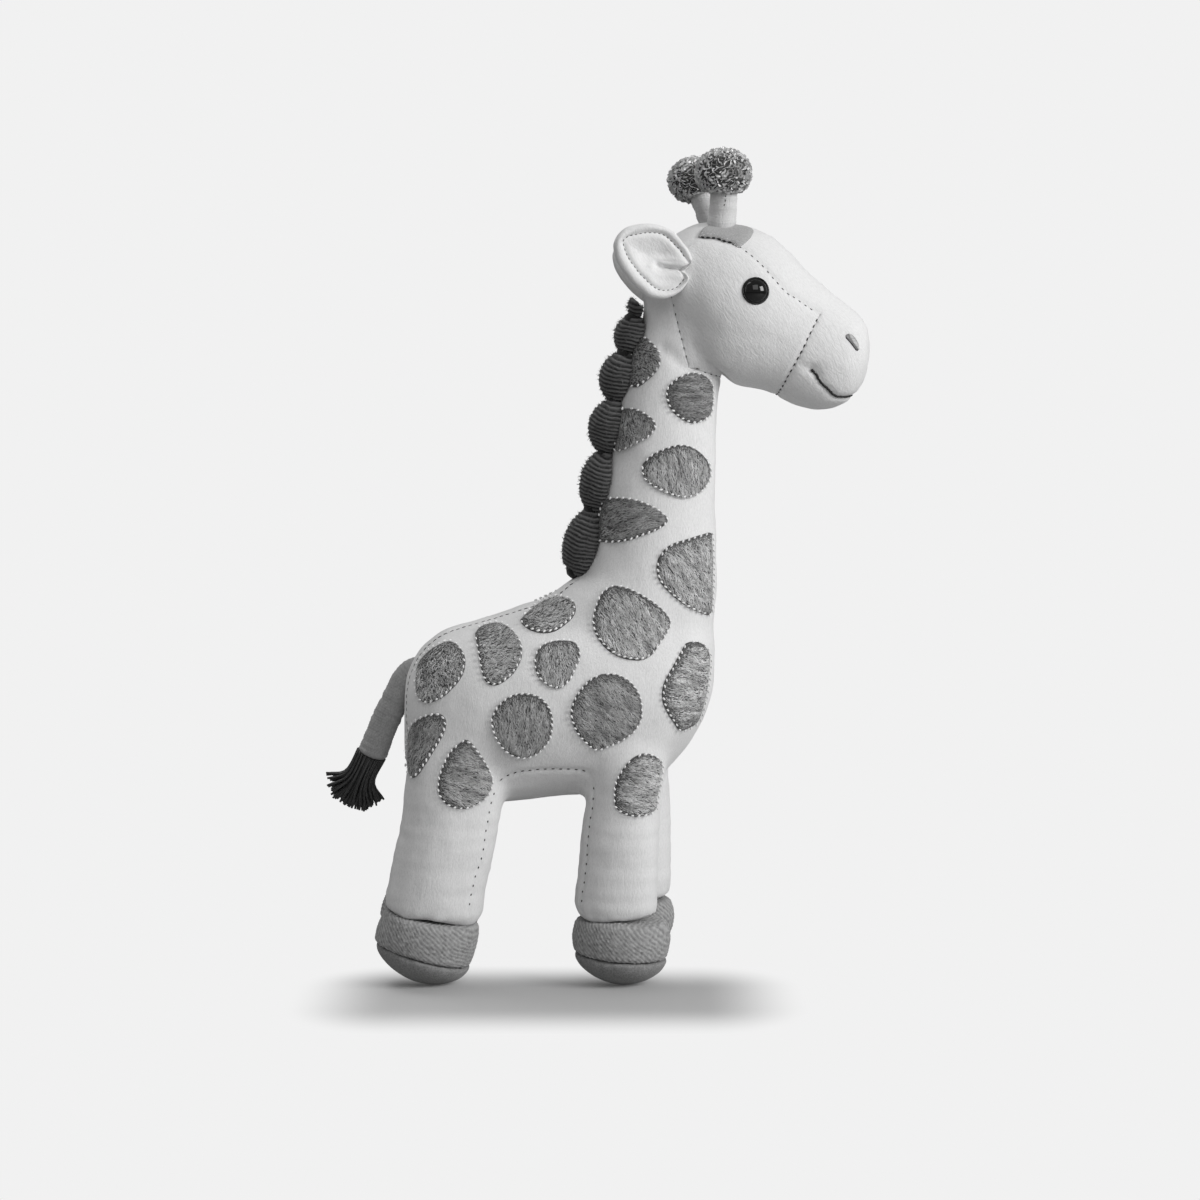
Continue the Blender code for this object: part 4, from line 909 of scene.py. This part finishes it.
for leg in LEGS:
    cuff = soft_form(f"cuff_{leg}", f"hoof_{leg}", 0.9, 0.2, 5, curly_pile)
    corners = corners_of(cuff.data)
    low, high = corners.min(0), corners.max(0)
    middle, share = (low + high) / 2, (corners[:, 2] - low[2]) / (high[2] - low[2])
    waist = np.interp(share, (0, 0.15, 0.5, 0.8, 1), (0.965, 0.99, 1.0, 0.975, 0.93))
    corners[:, :2] = middle[:2] + (corners[:, :2] - middle[:2]) * waist[:, None]
    put_corners(cuff.data, lowered(corners))
    ridged(cuff, 1.3, 0.24, 50, 2.4, 0.55)
    placed(cuff, "torso", [f"hoof_{leg}"])
    pad = soft_form(f"pad_{leg}", f"sole_{leg}", 1.5, 0.25, 4, sole_suede)
    corners = corners_of(pad.data)
    corners[:, 2] = np.maximum(corners[:, 2], 0.02 * MM)
    put_corners(pad.data, corners)
    placed(pad, "torso", [f"sole_{leg}"])


# Mane: six stuffed puffs of dark chenille along the back of the neck. Its cords run across
# each puff in wavy ridges with loose fuzz on them, and a dark tape joins the puffs to the nape.
mane_chenille = toned("mane_chenille", 0.1, 0.95, 0.2, 0.02, 0.16)
raised(mane_chenille, (grain(mane_chenille, 0.35, (1, 1, 3), 40, distortion=0.8), 0.6, 0.3))
fuzz = tuft(1.5 * MM, 0.2 * MM, 0.55)
PUFFS_MOVED = (1.0, 1.0, 0.9, 0.6, 0.0, -0.7)


def any_way(chance, spread=1.0):
    return Vector([chance.gauss(0, spread) for _ in range(3)])


for number, moved in enumerate(PUFFS_MOVED, 1):
    puff = soft_form(f"mane_puff_{number}", f"mane_lobe_{number}", 0.9, 0.5, 3, mane_chenille)
    put_corners(puff.data, corners_of(puff.data) * (1, 1.12, 1) + (moved * MM, 0, 0))
    ridged(puff, 1.6, 0.38, 8, 1.6)
    chance = random.Random(number)
    corners, normals = form_of(puff)
    stands, tones = [], []
    for k in chance.sample(range(len(corners)), len(corners) // 9):
        out, way = Vector(normals[k]), any_way(chance)
        stands.append(frame_at(Vector(corners[k]) - out * 0.2 * MM, way, out, chance.uniform(0.6, 1.2)))
        tones.append([chance.uniform(0.2, 1.0)] * len(fuzz.verts))
    loose = repeated(f"mane_fuzz_{number}", fuzz, stands, mane_chenille, tones)
    placed(loose, NECK)
    placed(puff, NECK, [f"mane_lobe_{number}"])

TAPE = (
    (15.1, 264), (14.5, 260), (12.2, 249.6), (9.8, 239.4), (7.5, 227.8), (4.5, 210.6), (1.9, 197.4), (-2, 183.4),
    (-4.9, 169.4), (-7.2, 163.2), (-10, 159.5),
)
tape_line = curve_through(millimetres(TAPE), 1.5 * MM)
rings = []
for k, place in enumerate(tape_line):
    outward = way_at(tape_line, k).cross(ACROSS)
    slim = 0.5 if k in (0, len(tape_line) - 1) else 1.0
    ring = [outward * math.cos(t) * 3.2 + Vector((0, math.sin(t) * 6, 0)) for t in turns(20)]
    rings.append([place + lean * slim * MM for lean in ring])
placed(lofted_piece("mane_tape", rings, mane_chenille), NECK)


# Ears: two-sided cups, the rim rolled forward and held by a dark running stitch, with a
# crease across the bowl to the foot, where they are sewn to the head.
EAR_OUTER = (
    (37.1, 282.5), (37.3, 284.7), (36.2, 287.3), (33.9, 290.3), (31.2, 293.5), (28.5, 295.2), (25, 296.4),
    (21, 297), (16.6, 296.7), (12.2, 295.4), (9.1, 292.8), (7.6, 290.1), (7.2, 288.4), (7.4, 286.2), (8.2, 283.2),
    (10, 279.8), (12.2, 276.8), (14.8, 273.8), (17.5, 271.4), (20.6, 269.1), (24.2, 268.3), (26.8, 268.3),
    (30.4, 269.5), (33.1, 271.3), (34.9, 273.3), (36, 275.5), (35.8, 277.2), (34.9, 279.3),
)
EAR_STITCHED = (
    (36, 282), (34.8, 284), (33, 287), (31, 288.9), (28.5, 291.3), (26.3, 292.8), (23.7, 293.4), (21, 293.5),
    (18.6, 293.3), (15.7, 292.7), (12.6, 291.8), (11, 290.4), (10.7, 289.6), (11.2, 287.8), (12, 285.5),
    (13.6, 282.5), (15.3, 280.3), (16.8, 278.2), (19, 276.1), (21.5, 273.7), (24.2, 272), (26.4, 271.6),
    (29.1, 271.9), (31.3, 272.7), (32.8, 274.1), (34, 275.7), (34.3, 276.8), (33.1, 279.5),
)
EAR_CREASE = ((36.5, 279), (35.1, 279.2), (33.1, 279.7), (30.4, 280.1), (27.7, 280.4), (25.7, 280.1), (24.1, 280.9))
EAR_BOWL = (24.1, 283.1)
# The ear's rows on its back, its rim and its bowl: how far along, and how far forward in mm.
EAR_ROWS = {
    "back": ((0.04, -5.0), (0.3, -4.9), (0.5, -4.6), (0.7, -4.0), (0.84, -3.3), (0.94, -2.3), (0.985, -1.2)),
    "rim": ((0.0, 0.0), (0.14, 1.15), (0.35, 1.75), (0.56, 1.7), (0.76, 1.25), (0.9, 0.5), (1.0, 0.1)),
    "bowl": (
        (0.06, 0.6), (0.15, 0.95), (0.27, 0.5), (0.4, -0.2), (0.55, -0.95), (0.7, -1.6), (0.85, -2.05), (0.97, -2.2),
    ),
}

outer, stitch_line = round_through(EAR_OUTER, 4), round_through(EAR_STITCHED, 4)
bowl = [Vector(EAR_BOWL)] * len(outer)
ear_parts = {"back": (bowl, outer), "rim": (outer, stitch_line), "bowl": (stitch_line, bowl)}
crease = np.array([(x, 0, z) for x, z in EAR_CREASE]) * MM
for side, hand in HANDS:
    front = Vector((0.327, -1, -0.0178)).normalized()
    front.y *= -side

    def stand_off(at, height):
        place = Vector((at.x, -28.04 + 0.327 * at.x - 0.0178 * at.y, at.y))
        place.y *= -side
        return (place + front * height) * MM

    rings = []
    for part, rows in EAR_ROWS.items():
        for share, height in rows:
            rings.append([stand_off(a.lerp(b, share), height) for a, b in zip(*ear_parts[part])])
    ear = lofted_piece(f"ear_cup_{hand}", rings, head_velour)
    finer(ear)
    corners, normals = form_of(ear)
    flat = corners * (1, 0, 1)
    away = distance_to_line(flat, crease) / MM
    above = flat[:, 2] / MM - np.interp(flat[:, 0] / MM, (24, 36), (280.6, 279))
    facing = np.clip(normals @ np.array(front) * 1.5, 0, 1)
    dent = -1.8 * np.exp(-((away / 0.75) ** 2)) * np.interp(flat[:, 0] / MM, (24, 29), (0.3, 1))
    dent += np.where(above > 0, 1.1, 0.8) * np.exp(-(((away - 2.6) / 1.8) ** 2))
    dent += [noise.noise(Vector(c) * 160) * 0.35 for c in corners]
    put_corners(ear.data, corners + np.array(front) * (dent * facing * MM)[:, None])
    placed(ear, f"ear_{hand}", [f"ear_{hand}"])
    line = [stand_off(p, 0.1) for p in stitch_line[3:-4]]
    stitched(f"ear_stitches_{hand}", f"ear_{hand}", [line], 1.9, 1.0, 0.34, 0.05, surface(ear))


# Horns: near-white velour tubes, closed at the front by a short seam, each with a ball of
# grey looped boucle on top.
grey_boucle = toned("grey_boucle", 0.5, 0.7, 0.2, 0.4, 1.0)
# The core under the loops is near black: painted shade that shows in the gaps between the loops.
boucle_ground_and_shade = mottled("boucle_ground_and_shade", 0.03, 1.0, 0.1, 0.8, 0.05, 0.12)
# The stems' velour is the near-white velour made darker all over: painted shade.
painted_shade_stem_velour = velour("painted_shade_stem_velour", 0.68, 0, 0.5)
STEM_SEAM = ((50.2, 312.2), (50.6, 307), (49.6, 303))
# How far each stem is moved in mm and leant over, and how far each ball is moved in mm.
LEANS = {"right": (0.1, 0), "left": (1.2, 0.1)}
STEM_TOP = 316 * MM
BALLS_MOVED = {"right": (-0.7, 0, -1.0), "left": (0.6, 0, 0.3)}
LOOPS = 860

half_loop = bmesh.new()
bmesh.ops.create_circle(half_loop, segments=5, radius=0.48 * MM)
bmesh.ops.rotate(half_loop, verts=half_loop.verts, matrix=Matrix.Rotation(math.pi / 2, 3, "X"))
bmesh.ops.translate(half_loop, verts=half_loop.verts, vec=(-0.58 * MM, 0, 0))
bmesh.ops.spin(
    half_loop, geom=half_loop.edges[:], cent=(0, 0, 0), axis=ACROSS, angle=math.pi * 1.1, steps=6, use_merge=False
)
bmesh.ops.recalc_face_normals(half_loop, faces=half_loop.faces)

for side, hand in HANDS:
    stem = soft_form(f"horn_tube_{hand}", f"horn_stem_{hand}", 1.0, 0.7, 3, painted_shade_stem_velour)
    corners, normals = form_of(stem)
    dent = [noise.noise(Vector((x * 90, y * 90, z * 420))) * 0.4 * MM for x, y, z in corners]
    corners += normals * np.array(dent)[:, None]
    corners[:, 0] += LEANS[hand][0] * MM + LEANS[hand][1] * (STEM_TOP - corners[:, 2])
    put_corners(stem.data, corners)
    ridged(stem, 1.15, 0.1, 3, 1.4)
    placed(stem, f"horn_{hand}", [f"horn_stem_{hand}"])
    core = soft_form(f"boucle_core_{hand}", f"horn_ball_{hand}", 1.2, -0.6, 3, boucle_ground_and_shade)
    low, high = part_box(f"horn_ball_{hand}")
    middle = (low + high) / 2
    moved = middle + Vector(BALLS_MOVED[hand]) * MM
    put_corners(core.data, (corners_of(core.data) - np.array(middle)) * (1.09, 1.06, 1.02) + np.array(moved))
    placed(core, f"horn_{hand}", [f"horn_ball_{hand}"])
    if hand == "right":
        tree = surface(stem)
        line = [on_side(tree, x * MM, z * MM, side)[0] for x, z in STEM_SEAM]
        stitched("horn_stitches", f"horn_{hand}", [line], 1.7, 0.9, 0.4, 0.0, tree)
    chance = random.Random(5 if hand == "right" else 6)
    tree = surface(core)
    places, tones = [], []
    for k in range(LOOPS):
        up, turn = 1 - 2 * (k + 0.5) / LOOPS, k * GOLDEN_TURN
        way = Vector((math.cos(turn) * math.sqrt(1 - up * up), math.sin(turn) * math.sqrt(1 - up * up), up))
        place, out, _, _ = tree.ray_cast(moved, way)
        along, lean = any_way(chance), any_way(chance, 0.8)
        places.append(frame_at(place - out * 0.1 * MM, along, (out + lean).normalized(), chance.uniform(0.8, 1.3)))
        # The loops are painted lighter towards the top of the ball and darker towards its bottom: painted light and
        # shade.
        tones.append([chance.uniform(0.6, 1.0) * (1.05 + 0.4 * up)] * len(half_loop.verts))
    loops = repeated(f"boucle_loops_{hand}", half_loop, places, grey_boucle, tones)
    placed(loops, f"horn_{hand}")


# Tail: a velour tube that hangs from the rump, with a tassel of dark cords tied at its end.
tail_velour = finish_of("tail_velour", 0.42, 0.9, 0.2)
tail_nap = grain(tail_velour, 0.45, (1, 1, 2.5), 25, detail=4, distortion=0.4)
shaded(tail_velour, tail_nap, 0.31, 0.43)
raised(tail_velour, (tail_nap, 0.5, 0.3))
TAIL_LINE = (
    (-64, 122.5), (-70.8, 122.1), (-75.3, 119.2), (-78.6, 113.2), (-81.2, 107.7), (-84, 101.7), (-86.9, 94.6),
    (-90.2, 86.2),
)
RUMP = ("torso", "tail", (-0.072, 0, 0.122), (-0.080, 0, 0.108))
line = curve_through(millimetres(TAIL_LINE), 0.32 * MM)
rings = []
for k, place in enumerate(line):
    outward = way_at(line, k).cross(ACROSS)
    left = len(line) - 1 - k
    closing = math.sqrt(max(0.05, 1 - max(0, 1 - left / 7) ** 2)) * (0.96 + 0.16 * k / len(line))
    ring = []
    for turn in turns(28):
        lean = outward * math.cos(turn) * 5.3 + Vector((0, math.sin(turn) * 5.6, 0))
        crease = noise.noise(place * 600 + lean * 0.12) * 0.26 + noise.noise(place * 150 + lean * 0.05) * 0.3
        rib = math.sin(k * 1.9 + noise.noise(place * 300) * 3) * 0.013
        ring.append(place + lean * (1 + crease / 5.4 + rib) * closing * MM)
    rings.append(ring)
placed(lofted_piece("tail_tube", rings, tail_velour), RUMP, ["tail"])

dark_cord = mottled("dark_cord", 0.04, 0.4, 0.1, 0.5, 0.012, 0.05, specular=0.5)
TASSEL_ROOT = ((-95.2, 90.4), (-90, 87.8), (-84.4, 85.9))
TASSEL_TIPS = ((-109, 80.5), (-107, 70.5), (-99.5, 65), (-92, 64), (-84.6, 68.5))
CORDS = 150
bm = bmesh.new()
chance = random.Random(11)
for k in range(CORDS):
    far, turn = math.sqrt((k + 0.5) / CORDS), k * GOLDEN_TURN
    spread, depth = math.cos(turn) * far, math.sin(turn) * far
    at = (spread + 1) / 2
    root = Vector([np.interp(at, (0, 0.5, 1), axis) for axis in zip(*TASSEL_ROOT)])
    tip = Vector([np.interp(at, (0, 0.25, 0.5, 0.75, 1), axis) for axis in zip(*TASSEL_TIPS)])
    tip = root.lerp(tip, chance.uniform(0.93, 1.0) * (1 - 0.1 * depth * depth))
    beside = Vector((tip - root).orthogonal()).normalized() * -spread * 4.4
    bulge = root.lerp(tip, 0.55) + beside + Vector((chance.gauss(0, 0.3), chance.gauss(0, 0.3)))
    line = millimetres((
        (root.x, depth * 4.2, root.y), (bulge.x, depth * 8.2 + chance.gauss(0, 0.3), bulge.y),
        (tip.x, depth * 8.0, tip.y),
    ))
    line = curve_through(line, 1.9 * MM)
    radius = chance.uniform(0.46, 0.6) * MM
    cord(bm, line, [radius] * (len(line) - 1) + [radius * 0.8])
placed(as_piece("tassel_cords", bm, dark_cord), "tassel", ["tassel"])


# Eyes: moulded black safety eyes, a gloss dome in a thin rim, pushed through the cloth.
eye_gloss = mottled("eye_gloss", 0.006, 0.06, 0.0, 3, 0.004, 0.008, specular=0.0)
eye_gloss.node_tree.nodes["Principled BSDF"].inputs["Coat Weight"].default_value = 1.0
eye_gloss.node_tree.nodes["Principled BSDF"].inputs["Coat Roughness"].default_value = 0.03
washer_white = mottled("washer_white", 0.6, 0.4, 0.0, 2, 0.55, 0.65)
EYE_AT = (61.9 * MM, 271.4 * MM)
EYE_PROFILE = (
    (0, 3.2), (1.2, 3.1), (2.4, 2.75), (3.4, 2.15), (4.1, 1.45), (4.5, 0.8), (4.62, 0.5), (4.75, 0.62),
    (5.0, 0.8), (5.25, 0.7), (5.35, 0.35), (5.3, -0.3), (4.6, -0.8), (0, -0.9),
)
for side, hand in HANDS:
    place, out = on_side(skin_tree, *EYE_AT, side)
    bm = bmesh.new()
    profile = [bm.verts.new((r * MM, 0, h * MM)) for r, h in EYE_PROFILE]
    for pair in zip(profile, profile[1:]):
        bm.edges.new(pair)
    bmesh.ops.spin(bm, geom=bm.edges[:], cent=(0, 0, 0), axis=UP, angle=2 * math.pi, steps=56, use_merge=True)
    bmesh.ops.remove_doubles(bm, verts=bm.verts, dist=0.01 * MM)
    bmesh.ops.transform(bm, matrix=frame_at(place, ALONG, out), verts=bm.verts)
    placed(as_piece(f"eye_dome_{hand}", bm, eye_gloss), "head", [f"eye_{hand}"])
    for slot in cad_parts[f"eye_washer_{hand}"].material_slots:
        slot.material = washer_white


# Face: a nostril leaf each side, worked in grey satin stitches over a dark thread, a mouth
# of one black thread, and two halves of grey pile over the crown between the horns.
NOSTRIL = (
    (97.5, -15.8, 254.3), (98.5, -15.1, 255.4), (99.9, -14.6, 255.1), (101.2, -14.2, 253.9), (102.3, -13.9, 252.3),
    (102.9, -13.7, 250.5), (102.7, -14, 249.2), (101.9, -14.6, 249), (101.1, -15, 249.9), (99.2, -15.6, 252.3),
)
CROWN = (
    (39.8, -16.3, 292.6), (42.9, -17.6, 292.2), (45.2, -18, 292.1), (47.3, -18.2, 291.9), (49.3, -18.9, 291),
    (51.7, -19.2, 290.4), (53.8, -19.4, 289.8), (55.8, -20, 288.4), (59.4, -17, 291), (61.1, -13.9, 293.1),
    (61.9, -10, 295.2), (60.9, -9, 296), (57.4, -8.1, 297.2), (54.1, -8.4, 297.6), (50.4, -10, 297.5),
    (46.8, -11.2, 297.1), (44.3, -11.9, 296.6), (42.5, -13, 295.8),
)
NOSTRIL_ROWS = ((1.0, -0.3), (0.96, 0.3), (0.75, 0.55), (0.4, 0.7), (0.05, 0.75))
satin = toned("satin_thread", 0.35, 0.45, 0.1, 0.3, 0.7)
satin_ground = mottled("satin_ground", 0.3, 0.7, 0.1, 0.4, 0.24, 0.36)
crown_ground = mottled("crown_ground", 0.4, 1.0, 0.2, 0.4, 0.34, 0.46)


def nearest(at):
    return skin_tree.find_nearest(at)[:2]


def thread(name, line, radii, sides=6):
    bm = bmesh.new()
    cord(bm, line, radii, sides)
    placed(as_piece(name, bm, dark_thread), "head")


for side, hand in HANDS:
    ring = sided(round_through(millimetres(NOSTRIL), 3), side)
    middle = sum(ring, Vector()) / len(ring)
    leaf = domed(f"nostril_leaf_{hand}", ring, nearest, NOSTRIL_ROWS, satin_ground)
    chance = random.Random(3)
    stitch = bead(6, 1.6 * MM, 0.45 * MM)
    places, tones = [], []
    long_way = (ring[19] - ring[3]).normalized()
    for step in range(-9, 10):
        reach = 1.35 * math.sqrt(max(0.04, 1 - (step / 10) ** 2))
        place, out = nearest(middle + long_way * step * 0.36 * MM)
        along = out.cross(long_way) - long_way * 0.6 * side
        places.append(frame_at(place + out * 0.7 * MM, along, out) @ Matrix.Diagonal((reach, 1, 1, 1)))
        tones.append([chance.uniform(0.35, 0.9)] * len(stitch.verts))
    threads = repeated(f"nostril_satin_{hand}", stitch, places, satin, tones)
    placed(leaf, "head", [f"nostril_{hand}"])
    placed(threads, "head")
    edge = laid_on(round_through(millimetres(NOSTRIL), 4)[24:], skin_tree)
    thread(f"nostril_thread_{hand}", sided(lifted(edge, 0.15), side), [0.18 * MM] * len(edge))

    ring = sided(curve_through(millimetres((*CROWN, CROWN[0])), 0.8 * MM), side)
    # The factor 1.3 lightens the crown's pile: painted light, as for the spots.
    crown = pile_patch(
        f"crown_pile_{hand}", ring, nearest, ACROSS * side, 150, 0.8, 1.3, random.Random(7), 1.1 * MM, 0.99, 0.8,
        crown_ground,
    )
    placed(crown, "head", ["crown_patch"] if side < 0 else [])
    line = sided(millimetres(CROWN[:8]), side)
    stitched(f"crown_stitches_{hand}", "head", [line], 2.2, 1.7, 0.8, 0.5, sides=7)

mouth_line = curve_through(millimetres(MOUTH), 0.7 * MM)
mouth_line += mirrored(mouth_line[:-1])[::-1]
radii = []
for k in range(len(mouth_line)):
    from_front = abs(k - len(mouth_line) / 2 + 0.5)
    radii.append((0.5 + 0.2 * noise.noise(Vector((k * 0.6, 0, 0)))) * min(1, 0.3 + from_front / 12) * MM)
thread("mouth_thread", lifted(laid_on(mouth_line, skin_tree), 0.12), radii, 8)


# Studio: a pale floor that runs into the backdrop and keeps one soft painted shadow, an oval
# of darker lamp-lit floor mostly in front of the feet, where the toy's own shadows also fall,
# a soft key light from the right and above, weak ones in front and behind, and even light all round.
BACKDROP = 0.88
EVEN_LIGHT = 0.215


def stood(name, data, place, aim):
    """A camera or lamp at a place, turned to what it is aimed at."""
    made = bpy.data.objects.new(name, data)
    bpy.context.scene.collection.objects.link(made)
    made.location = place
    made.rotation_euler = (aim - made.location).to_track_quat("-Z", "Y").to_euler()
    return made


camera = stood(
    "camera", bpy.data.cameras.new("camera"), Vector((2.1, -896.6, 228.45)) * MM, Vector((2.1, 0, 150)) * MM
)
camera.data.lens = 67.5
camera.data.sensor_width = 36
bpy.context.scene.camera = camera

world = bpy.data.worlds.new("studio")
bpy.context.scene.world = world
world.use_nodes = True
tree = world.node_tree
tree.nodes.clear()
even, seen = (add_node(tree, "Background", {"Color": grey(v)}).outputs[0] for v in (EVEN_LIGHT, BACKDROP))
camera_ray = add_node(tree, "LightPath").outputs["Is Camera Ray"]
pick = add_node(tree, "MixShader", {0: camera_ray, 1: even, 2: seen})
add_node(tree, "OutputWorld", {"Surface": pick.outputs[0]})

for name, place, power, size in (
    ("key", (1.04, -0.585, 0.69), 11.0, 0.6),
    ("front", (0.2, -1.04, 0.95), 3.2, 0.8),
    ("rim", (-0.45, 0.35, 1.15), 3.8, 0.7),
):
    lamp = stood(name, bpy.data.lights.new(name, "AREA"), place, Vector((0, 0, 0.17)))
    lamp.data.energy = power
    lamp.data.size = size

floor_paper = bpy.data.materials.new("floor_paper")
floor_paper.use_nodes = True
tree = floor_paper.node_tree
tree.nodes.clear()
# How far a place on the floor lies outside the core of the painted shadow, in widths of its soft edge.
place = add_node(tree, "TexCoord").outputs["Object"]
for operation, amount in (
    ("SUBTRACT", {1: (-0.0179, -0.0459, 0)}), ("ABSOLUTE", {}), ("SUBTRACT", {1: (0.0578, 0.0145, 0)}),
    ("MAXIMUM", {1: (0, 0, 0)}), ("DIVIDE", {1: (0.0424, 0.038, 1)}),
):
    place = add_node(tree, "VectorMath", {0: place, **amount}, operation=operation).outputs[0]
away = add_node(tree, "VectorMath", {0: place}, operation="LENGTH").outputs["Value"]
fade = add_node(tree, "MapRange", {"Value": away}, interpolation_type="SMOOTHSTEP").outputs["Result"]
glow = add_node(tree, "Emission", {"Color": grey(BACKDROP)}).outputs[0]
paper, bounce = (add_node(tree, "BsdfDiffuse", {"Color": grey(v)}).outputs[0] for v in (0.57, 0.4))
# Inside the oval the floor is lamp-lit paper, darker than the glow around it: a painted shadow that also takes the
# toy's real shadows.
painted_shadow_blot = add_node(tree, "MixShader", {0: fade, 1: paper, 2: glow}).outputs[0]
camera_ray = add_node(tree, "LightPath").outputs["Is Camera Ray"]
shown = add_node(tree, "MixShader", {0: camera_ray, 1: bounce, 2: painted_shadow_blot}).outputs[0]
add_node(tree, "OutputMaterial", {"Surface": shown})
bm = bmesh.new()
bmesh.ops.create_circle(bm, segments=64, radius=6, cap_ends=True)
add_piece("floor", mesh_from("floor", bm), floor_paper)

bpy.context.scene.view_settings.view_transform = "Standard"
